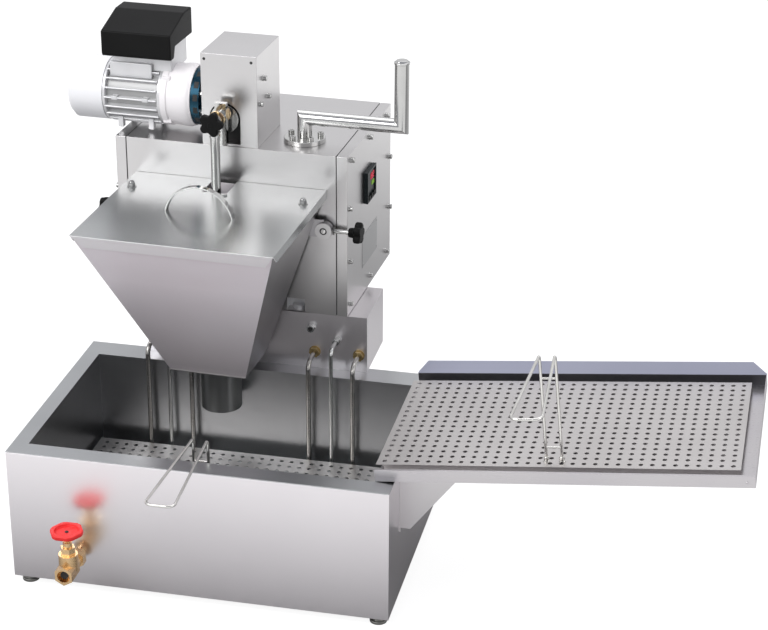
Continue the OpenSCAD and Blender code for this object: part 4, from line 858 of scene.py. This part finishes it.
# %% Clamp screws
HOPPER_MID, BOSS_REACH, BOSS_Z, BOSS_R, CLAMP_Y = -259.5, 211.75, 629.0, 18.7, -11.5
rod = ((8.4, 0), (8.4, 4.4), (9.2, 5), (54, 5), (54, 0))
locknut = ((BOSS_R + 1, 5.0), (BOSS_R + 1, 8.5), (BOSS_R + 5, 8.5), (BOSS_R + 5, 5.0))
hub = ((54.7, 0), (54.7, 9), (55.5, 10), (62, 11), (68, 11.5), (68, 0))
for word, side in SIDES:
    axis = (side, 0, 0)
    boss = (HOPPER_MID + side * BOSS_REACH, CLAMP_Y, BOSS_Z)
    shape = bmesh.new()
    turned(shape, rod, boss, axis, 24)
    turned(shape, locknut, boss, axis, 6, ring=True)
    settle(mesh_of(shape), "clamp_rod_" + word, "clamp_" + word, "polished_steel", HEAD,
           ("clamp_screw_" + word,))
    shape = bmesh.new()
    turned(shape, hub, boss, axis)
    star(shape, 24.5, 16.0, (boss[0] + side * 67.7, CLAMP_Y, BOSS_Z), axis)
    settle(mesh_of(shape), "clamp_grip_" + word, "clamp_" + word, "black_plastic", HEAD)
print("clamp screws at", BOSS_REACH, "mm from the hopper's middle")

# %% [markdown]
# Each boss on the hopper is closed by a pin end in a ring, and two gold-coloured zinc washers sit on the
# crank pin, before and behind the flat strap of the connecting rod.

# %% Washers and pin ends
disc = ((-0.2, 8.0), (-0.2, 18.2), (0.2, 18.6), (0.9, 18.2), (0.9, 8.0))
gap = ((0.1, 0), (0.1, 8.2), (0.4, 8.2), (0.4, 0))
pin_end = ((0.2, 0), (0.2, 5.6), (1.6, 5.6), (2.6, 4.6), (2.8, 0))
front_washer = ((0, 11.2), (0, 17.0), (0.5, 17.6), (2.6, 17.6), (3.1, 17.0), (3.1, 11.2))
back_washer = ((0, 10.2), (0, 17.9), (0.4, 18.3), (4.6, 18.3), (5.0, 17.6), (5.0, 10.2))
for word, side in SIDES:
    place = (HOPPER_MID + side * BOSS_REACH, -20.0, BOSS_Z)
    on_head(turned_shape(disc, place, FRONT, 48, ring=True), "boss_disc_" + word, "head_steel")
    # painted shade: a black disc in the boss's gap
    on_head(turned_shape(gap, place, FRONT), "boss_gap_" + word, "head_steel", materials=(PAINTED_SHADE_BLACK,))
    on_head(turned_shape(pin_end, place, FRONT), "pin_end_" + word, "polished_steel")
for name, profile, y, body in (("front_washer", front_washer, -47.0, "rod"),
                               ("back_washer", back_washer, -8.1, "crank")):
    washer = turned_shape(profile, (CRANK_X, y, PIN_Z), FRONT, 48, ring=True)
    settle(mesh_of(washer), name, body, "brass_fittings", HEAD, materials=(GOLD_ZINC,))
print("washers on the pin at z", PIN_Z)

# %% [markdown]
# The side covers are held by screws with tall heads on washers. Their places come from the CAD: each
# separate solid of the screws' node gives one point. The solids are found in the order of the mesh's
# own corners, so the screws come in the same order each time.

# %% Helper: the middle of each solid of a node
def island_centres(name):
    shape = bmesh.new()
    shape.from_mesh(frame["nodes"][name].data)
    bmesh.ops.remove_doubles(shape, verts=shape.verts, dist=WELD)
    seen, centres = set(), []
    for first in shape.verts:
        if first in seen:
            continue
        seen.add(first)
        todo, island = [first], []
        while todo:
            vert = todo.pop()
            island.append(vert.co.copy())
            for edge in vert.link_edges:
                other = edge.other_vert(vert)
                if other not in seen:
                    seen.add(other)
                    todo.append(other)
        low = Vector(min(c[k] for c in island) for k in range(3))
        high = Vector(max(c[k] for c in island) for k in range(3))
        centres.append((low + high) / 2)
    shape.free()
    return centres


centres = island_centres("cover_bolts")
print("cover screws", len(centres))

# %% [markdown]
# Geometry Nodes put the same screw on every point and turn it outwards. The screw is a stack of short
# cylinders: a washer, the head, and the head's chamfer.

# %% Geometry Nodes: screws on points
WASHER_T, HEAD_H, CHAMFER_FROM = 0.0012, 0.0070, 0.86
BETWEEN_COVERS = -400
STACK = (("Washer Radius", WASHER_T, 0.0, 24, 0.96),
         ("Head Radius", HEAD_H * CHAMFER_FROM, WASHER_T, 16, 1.0),
         ("Head Radius", HEAD_H * (1 - CHAMFER_FROM), WASHER_T + HEAD_H * CHAMFER_FROM, 16, 0.84))
screw_tree, entry, leave = geometry_tree(
    "screws_on_points", Head_Radius=0.0056, Washer_Radius=0.0068, Turn=(0.0, 0.0, 0.0), Material=None)
parts = node_of(screw_tree, "GeometryNodeJoinGeometry")
for radius, depth, low, sides, top_share in STACK:
    cone = node_of(screw_tree, "GeometryNodeMeshCone", Vertices=sides, Depth=depth)
    share = math_node(screw_tree, "MULTIPLY", top_share)
    lift = node_of(screw_tree, "GeometryNodeTransform", Translation=(0, 0, low))
    wire(screw_tree,
         (entry, radius, share, 0),
         (share, 0, cone, "Radius Top"),
         (entry, radius, cone, "Radius Bottom"),
         (cone, "Mesh", lift, "Geometry"),
         (lift, "Geometry", parts, "Geometry"))
place_screws = node_of(screw_tree, "GeometryNodeInstanceOnPoints")
wire(screw_tree,
     (entry, "Geometry", place_screws, "Points"),
     (parts, "Geometry", place_screws, "Instance"),
     (entry, "Turn", place_screws, "Rotation"))
finish_tree(screw_tree, place_screws, "Instances", entry, leave)

half_screw = (WASHER_T + HEAD_H) / 2
outward = (HEAD.to_3x3() @ Vector(RIGHT)).normalized()
for word, side in SIDES:
    on_side = [c for c in centres if ((head_inverse @ c).x > BETWEEN_COVERS) == (side > 0)]
    points = bpy.data.meshes.new("screw_places_" + word)
    points.from_pydata([tuple(c - outward * side * half_screw) for c in on_side], [], [])
    screws = grown(screw_tree, "screws_" + word, points, Turn=(0.0, side * math.pi / 2, HEAD_YAW),
                   Material=FINISH["bolt_steel"])
    settle(screws, "cover_screws_" + word, "head", "bolt_steel", stands_for=("cover_bolts",))
    print(word, len(on_side), "screws")

# %% [markdown]
# The motor's frame is cast aluminium with straight cooling ribs. A rib is a thin bar with a round tip;
# the tree below instances it round the axis, with the count and sizes as inputs.

# %% Geometry Nodes: cooling ribs round the motor
MOTOR_Y, MOTOR_Z, MOTOR_R = 85.0, 872.1, 69.0
MOTOR_X, SHIELD_X, FLANGE_X = -553.4, -422.4, -355.4
MOTOR = (MOTOR_X, MOTOR_Y, MOTOR_Z)
rib_tree, entry, leave = geometry_tree(
    "cooling_ribs", Count=28, Length=120.0, Inner_Radius=54.0, Rib_Height=13.0, Rib_Width=4.4, Material=None)
spots = node_of(rib_tree, "GeometryNodeMeshCircle")
size = node_of(rib_tree, "ShaderNodeCombineXYZ")
bar = node_of(rib_tree, "GeometryNodeMeshCube")
half_width = math_node(rib_tree, "MULTIPLY", 0.5)
tip = node_of(rib_tree, "GeometryNodeMeshCylinder", Vertices=12)
half_height = math_node(rib_tree, "MULTIPLY", 0.5)
tip_place = node_of(rib_tree, "ShaderNodeCombineXYZ")
move_tip = node_of(rib_tree, "GeometryNodeTransform")
rib = node_of(rib_tree, "GeometryNodeJoinGeometry")
spot_place = node_of(rib_tree, "GeometryNodeInputPosition")
face_out = node_of(rib_tree, "FunctionNodeAlignEulerToVector", {"axis": "X", "pivot_axis": "Z"})
around = node_of(rib_tree, "GeometryNodeInstanceOnPoints")
wire(rib_tree,
     (entry, "Count", spots, "Vertices"),
     (entry, "Inner Radius", spots, "Radius"),
     (entry, "Rib Height", size, 0),
     (entry, "Rib Width", size, 1),
     (entry, "Length", size, 2),
     (size, 0, bar, "Size"),
     (entry, "Rib Width", half_width, 0),
     (half_width, 0, tip, "Radius"),
     (entry, "Length", tip, "Depth"),
     (entry, "Rib Height", half_height, 0),
     (half_height, 0, tip_place, 0),
     (tip, "Mesh", move_tip, "Geometry"),
     (tip_place, 0, move_tip, "Translation"),
     (bar, "Mesh", rib, "Geometry"),
     (move_tip, "Geometry", rib, "Geometry"),
     (spot_place, 0, face_out, "Vector"),
     (spots, "Mesh", around, "Points"),
     (rib, "Geometry", around, "Instance"),
     (face_out, 0, around, "Rotation"))
finish_tree(rib_tree, around, "Instances", entry, leave)
ribs = grown(rib_tree, "ribs", Count=20, Length=118.0, Inner_Radius=60.5, Rib_Height=14.0, Rib_Width=4.6,
             Material=FINISH["motor_aluminium"])
middle = Matrix.Translation(((MOTOR_X + SHIELD_X) / 2 - 1, MOTOR_Y, MOTOR_Z))
ribs.transform(middle @ Matrix.Rotation(math.pi / 2, 4, "Y"))
print("ribs", len(ribs.polygons), "faces")

# %% [markdown]
# Lugs for the fixing screws, two pairs of feet and a flat seat for the terminal box break the pattern
# of ribs, as they do on the real casting. Between the ribs the frame is painted darker than on their
# tips, as painted shade.

# %% Motor frame with lugs and feet
BETWEEN_RIBS = 59.0
barrel = ((0, 0), (0, 66.5), (1, 68), (6, 68), (7, 66), (7, 58), (124, 58), (124, 66), (125.5, 68),
          (131, 68), (131, 0))
shape = bmesh.new()
shape.from_mesh(ribs)
turned(shape, barrel, MOTOR, RIGHT, 64)
add_box(shape, MOTOR_X + 12, MOTOR_X + 108, MOTOR_Y - 45, MOTOR_Y + 45, MOTOR_Z + 40, MOTOR_Z + 74, 3.0)
for lug_x in (MOTOR_X + 22.0, MOTOR_X + 92.0):
    add_box(shape, lug_x, lug_x + 14, MOTOR_Y - 71, MOTOR_Y - 56, MOTOR_Z - 4, MOTOR_Z + 5, 2.0)
    for foot_y in (MOTOR_Y - 38, MOTOR_Y + 38):
        add_box(shape, lug_x + 4, lug_x + 16, foot_y - 7, foot_y + 7, MOTOR_Z - 73, MOTOR_Z - 48, 1.5)
motor_frame = on_head(shape, "motor_frame", "motor_aluminium", stands_for=("motor_housing",),
                      materials=(FINISH["motor_aluminium"], PAINTED_SHADE_GROOVES))
# painted shade: faces between the ribs take the darker groove finish
paint_where(motor_frame, 1, lambda face, spot: MOTOR_X + 7 < spot.x < SHIELD_X - 7
            and math.hypot(spot.y - MOTOR_Y, spot.z - MOTOR_Z) < BETWEEN_RIBS)
print("motor frame", len(motor_frame.data.polygons), "faces")

# %% [markdown]
# The terminal box is one black moulding. Seen from its side it has a slanted lid and a lip that hangs
# down in front of the aluminium neck, so its outline is drawn once and stretched along the motor.

# %% Terminal box on its neck
BOX_X, BOX_Y, BOX_Z = (MOTOR_X + 3, MOTOR_X + 160), (MOTOR_Y - 65, MOTOR_Y + 75), MOTOR_Z + MOTOR_R + 22
OUTLINE = ((3, 0), (22, 0), (32, 24), (140, 23), (140, 82), (90, 82), (0, 56), (0, 6))
shape = bmesh.new()
left_end, right_end = [[shape.verts.new((x, BOX_Y[0] + dy, BOX_Z + dz)) for dy, dz in OUTLINE] for x in BOX_X]
shape.faces.new(left_end)
shape.faces.new(right_end)
for i in range(len(OUTLINE)):
    k = (i + 1) % len(OUTLINE)
    shape.faces.new((left_end[i], left_end[k], right_end[k], right_end[i]))
bmesh.ops.recalc_face_normals(shape, faces=shape.faces)
round_edges(shape, shape.edges[:], 5.0, segments=3, clamp=True)
on_head(shape, "terminal_moulding", "black_plastic", stands_for=("terminal_box",), sharp_from=50)
shape = bmesh.new()
add_box(shape, BOX_X[0] + 14, BOX_X[1] - 10, BOX_Y[0] + 30, BOX_Y[1] - 10, MOTOR_Z + 55, BOX_Z + 30, 4.0)
on_head(shape, "terminal_neck", "motor_aluminium", stands_for=("terminal_box",))
print("terminal box", BOX_X, BOX_Z)

# %% [markdown]
# The end shield is a smooth turned casting with square lugs for its screws. Beside it stands the blue
# flange of the gearbox, whose bolts sit in pockets.

# %% End shield and flange bolts
SHIELD_LUGS, LUG_R, POCKETS, POCKET_R, FLANGE_SCREWS, SCREW_R = 4, 62, 14, 59.0, 8, 52
dome = ((0, 0), (0, 67.5), (1.5, 69), (13, 69), (15, 66.5), (38, 67), (42, 68.5), (58, 68.5), (61, 66.5),
        (67, 65), (67, 0))
hexagon_head = ((0, 0), (0, 5.5), (5, 5.5), (6, 4.6), (6, 0))
shape = bmesh.new()
turned(shape, dome, (SHIELD_X, MOTOR_Y, MOTOR_Z), RIGHT, 72)
for turn in range(SHIELD_LUGS):
    angle = math.radians(45 + 90 * turn)
    y, z = MOTOR_Y + LUG_R * math.cos(angle), MOTOR_Z + LUG_R * math.sin(angle)
    add_box(shape, SHIELD_X + 1, SHIELD_X + 20, y - 8, y + 8, z - 8, z + 8, 2.0)
shield = on_head(shape, "end_shield", "motor_aluminium", stands_for=("motor_end_shield",),
                 materials=(SHIELD_CASTING,))
shape = bmesh.new()
for turn in range(POCKETS):
    angle = 2 * math.pi * turn / POCKETS
    spin = Matrix.Translation((FLANGE_X + 12, MOTOR_Y, MOTOR_Z)) @ Matrix.Rotation(angle, 4, "X")
    spin = spin @ Matrix.Translation((0, 0, POCKET_R)) @ Matrix.Diagonal((11, 15, 8.6, 1))
    bmesh.ops.create_cube(shape, size=1.0, matrix=spin)
round_edges(shape, shape.edges[:], 1.0)
# painted shade: the flange's pockets are black
on_head(shape, "flange_pockets", "gearbox_blue", materials=(PAINTED_SHADE_BLACK,))
shape = bmesh.new()
for turn in range(FLANGE_SCREWS):
    angle = math.radians(22.5 + 45 * turn)
    y, z = MOTOR_Y + SCREW_R * math.cos(angle), MOTOR_Z + SCREW_R * math.sin(angle)
    turned(shape, hexagon_head, (FLANGE_X + 20.2, y, z), RIGHT, 6)
on_head(shape, "flange_screws", "bolt_steel")
print("end shield", len(shield.data.polygons), "faces")

# %% [markdown]
# The controller is a square panel meter. Its case has a frame round a sunken dark window, and the case
# goes on through the wall of the cover.

# %% Controller case
METER_Y, METER_Z, BEZEL, CASE_OUT, CASE_BACK = 168.5, 674.5, 72.0, 10.0, -70.0
half, behind = BEZEL / 2, BEZEL / 2 - 5
shape = bmesh.new()
for x1, x2, reach, bevel in ((0.0, CASE_OUT - 3.2, half, 1.5), (CASE_BACK, 0.5, behind, 0.6)):
    add_box(shape, x1, x2, METER_Y - reach, METER_Y + reach, METER_Z - reach, METER_Z + reach, bevel)
for y1, y2, z1, z2 in ((-half, half, half - 5, half), (-half, half, -half, -half + 4),
                       (-half, -half + 5, -half + 3, half - 4), (half - 5, half, -half + 3, half - 4)):
    add_box(shape, CASE_OUT - 4, CASE_OUT, METER_Y + y1, METER_Y + y2, METER_Z + z1, METER_Z + z2, 0.8)
meter = on_head(shape, "meter_case", "black_plastic", stands_for=("temperature_controller",),
                materials=(METER_CASE,))
print("meter case", len(meter.data.polygons), "faces")

# %% [markdown]
# Red digits above give the oil's temperature and green digits below the set one. Each digit is made of
# up to seven bars, as on the real display, and the bars glow.

# %% Helpers: bars that glow
BARS_OF = {"0": "abcdef", "1": "bc", "2": "abged", "8": "abcdefg"}
DIGIT_BACK, DIGIT_FACE = CASE_OUT - 3.4, CASE_OUT - 2.4


def glowing(name, colour, strength):
    material = bpy.data.materials.new(name)
    tree = node_tree_of(material)
    output = node_of(tree, "ShaderNodeOutputMaterial")
    shader = node_of(tree, "ShaderNodeBsdfPrincipled", Roughness=0.4, Emission_Strength=strength)
    dull = tuple(0.85 * c for c in colour)
    group = {"node_tree": clouds}
    tint = node_of(tree, "ShaderNodeGroup", group, Clean=(*colour, 1), Dull=(*dull, 1), Size=60.0)
    wire(tree,
         (tint, "Color", shader, "Base Color"),
         (tint, "Color", shader, "Emission Color"),
         (shader, "BSDF", output, "Surface"))
    return material


def digits(text, left, low, width, tall, bar):
    shape = bmesh.new()
    middle, high = low + tall / 2, low + tall
    for number, figure in enumerate(text):
        y1 = METER_Y + left + number * (width + 2.6 * bar)
        y2 = y1 + width
        bars = {"a": (y1, y2, high - bar, high), "d": (y1, y2, low, low + bar),
                "g": (y1, y2, middle - bar / 2, middle + bar / 2),
                "f": (y1, y1 + bar, middle, high), "b": (y2 - bar, y2, middle, high),
                "e": (y1, y1 + bar, low, middle), "c": (y2 - bar, y2, low, middle)}
        for letter in BARS_OF[figure]:
            add_box(shape, DIGIT_BACK, DIGIT_FACE, *bars[letter], 0.15)
    return shape


print("figures", list(BARS_OF))

# %% [markdown]
# Both numbers are set by their place, width and height in millimetres. Four small lamps stand in a
# column to the left of them.

# %% Digits and signal lamps
RED_GLOW = glowing("red_glow", (0.62, 0.03, 0.06), 0.5)
GREEN_GLOW = glowing("green_glow", (0.22, 0.42, 0.04), 0.45)
oil_digits = digits("182", -9.0, METER_Z + 9.0, 8.0, 14.0, 1.8)
on_head(oil_digits, "red_digits", "black_plastic", materials=(RED_GLOW,))
set_digits = digits("180", 2.0, METER_Z - 6.0, 5.4, 9.5, 1.3)
on_head(set_digits, "green_digits", "black_plastic", materials=(GREEN_GLOW,))
lamp = ((0, 0), (0, 1.4), (0.8, 1.2), (1.0, 0))
shape = bmesh.new()
for z in (22.0, 12.0, 2.0, -8.0):
    turned(shape, lamp, (DIGIT_BACK, METER_Y - 27.0, METER_Z + z), RIGHT, 12)
on_head(shape, "signal_lamps", "plate_aluminium")
print("digits 182 over 180")

# %% [markdown]
# Through the window at the head's front foot the photograph shows a lit grey recess, with the front of
# the swivel's collar in it. Four thin sheets behind the window make that recess.

# %% Recess behind the foot window
WINDOW_X, WINDOW_LOW, WINDOW_TOP = (-136.6, -96.6), 426, 456.2
FRONT_WALL, RECESS = 2.2, 24.0
left, right, roof = WINDOW_X[0] - 3, WINDOW_X[1] + 3, WINDOW_TOP + 3
collar = ((0, 0), (0, 15.0), (9, 15.0), (10, 14.0), (10, 0))
shape = bmesh.new()
add_box(shape, left, right, RECESS, RECESS + 1, WINDOW_LOW, roof)
add_box(shape, left, right, FRONT_WALL, RECESS, roof - 1, roof)
add_box(shape, left, left + 1, FRONT_WALL, RECESS, WINDOW_LOW, roof - 1)
add_box(shape, right - 1, right, FRONT_WALL, RECESS, WINDOW_LOW, roof - 1)
turned(shape, collar, (-114.0, RECESS - 2, WINDOW_LOW), UP)
on_head(shape, "foot_recess", "head_steel", materials=(FINISH["motor_aluminium"],))
print("recess", RECESS, "mm deep")

# %% [markdown]
# Small things finish the picture: two dark countersunk screws near the top of the gear cover, a screw in
# the middle of the red handwheel, a rivet in the tray's outer corner and the rating plate's four pins.

# %% Small screws and rivets
PLATE_Y, PLATE_Z, PIN_INSET = (120.9, 245.9), (490.2, 565.2), 6


def screw_heads(name, places, direction, radius, axes, body, slot, material=None, height=1.2):
    head = ((-0.4, 0), (-0.4, radius), (height * 0.4, radius), (height, radius * 0.6), (height, 0))
    shape = bmesh.new()
    for place in places:
        turned(shape, head, place, direction, 20)
    settle(mesh_of(shape), name, body, slot, axes, materials=(material,) if material else ())


# The gear cover's screws and the handwheel's screw take the black painted-shade finish.
screw_heads("gear_cover_screws", [(-313.0, 3.0, 982.5), (-209.0, 3.0, 982.0)], FRONT, 3.2, HEAD, "head",
            "bolt_steel", PAINTED_SHADE_BLACK, 0.5)
screw_heads("wheel_screw", [(149.0, -68.0, 162.0)], UP, 4.0, TANK, "valve_wheel", "handwheel_red",
            PAINTED_SHADE_BLACK, 2.0)
screw_heads("tray_rivets", [(690.0, 43.5, -5.0)], FRONT, 2.4, TRAY, "tray", "tray_steel")
plate_corners = [(0.8, y, z) for y in (PLATE_Y[0] + PIN_INSET, PLATE_Y[1] - PIN_INSET)
                 for z in (PLATE_Z[0] + PIN_INSET, PLATE_Z[1] - PIN_INSET)]
screw_heads("plate_pins", plate_corners, RIGHT, 1.8, HEAD, "head", "bolt_steel", height=0.8)
rounded_copy("rating_plate", 0.0003)
print("small screws done")

# %% [markdown]
# The spare gland and the valve's open end have a black disc painted in their mouths as shade, since a deep
# bore shows no bottom. Short sleeves carry the legs of the two wire handles on their plates.

# %% Dark bores and handle sleeves
SPARE_GLAND, OUTLET_END = (514.7, 519.7, 391.0), (149.0, -96.0, 76.0)
LEG_APART = 15.5
sleeve = ((0.1, 0), (0.1, 7.0), (1.2, 7.0), (1.8, 5.4), (9.0, 5.4), (9.8, 4.6), (9.8, 0))
shape = bmesh.new()
turned(shape, ((13.6, 0), (13.6, 5.0), (14.4, 5.0), (14.4, 0)), SPARE_GLAND, FRONT, 24)
turned(shape, ((-2.0, 0), (-2.0, 8.6), (-1.0, 8.6), (-1.0, 0)), OUTLET_END, FRONT, 32)
settle(mesh_of(shape), "dark_bores", "tank", "probe_steel", TANK, materials=(PAINTED_SHADE_BLACK,))
for word, axes, (x, y, z), body in (("strainer", TANK, (394.0, 70.0, STRAINER_TOP), "strainer"),
                                    ("tray", TRAY, (311.0, 110.5, 0.0), "plate")):
    shape = bmesh.new()
    turned(shape, sleeve, (x - LEG_APART, y, z), UP, 24)
    turned(shape, sleeve, (x + LEG_APART, y, z), UP, 24)
    settle(mesh_of(shape), "handle_sleeves_" + word, body, "wire_steel", axes)
print("small pieces done")
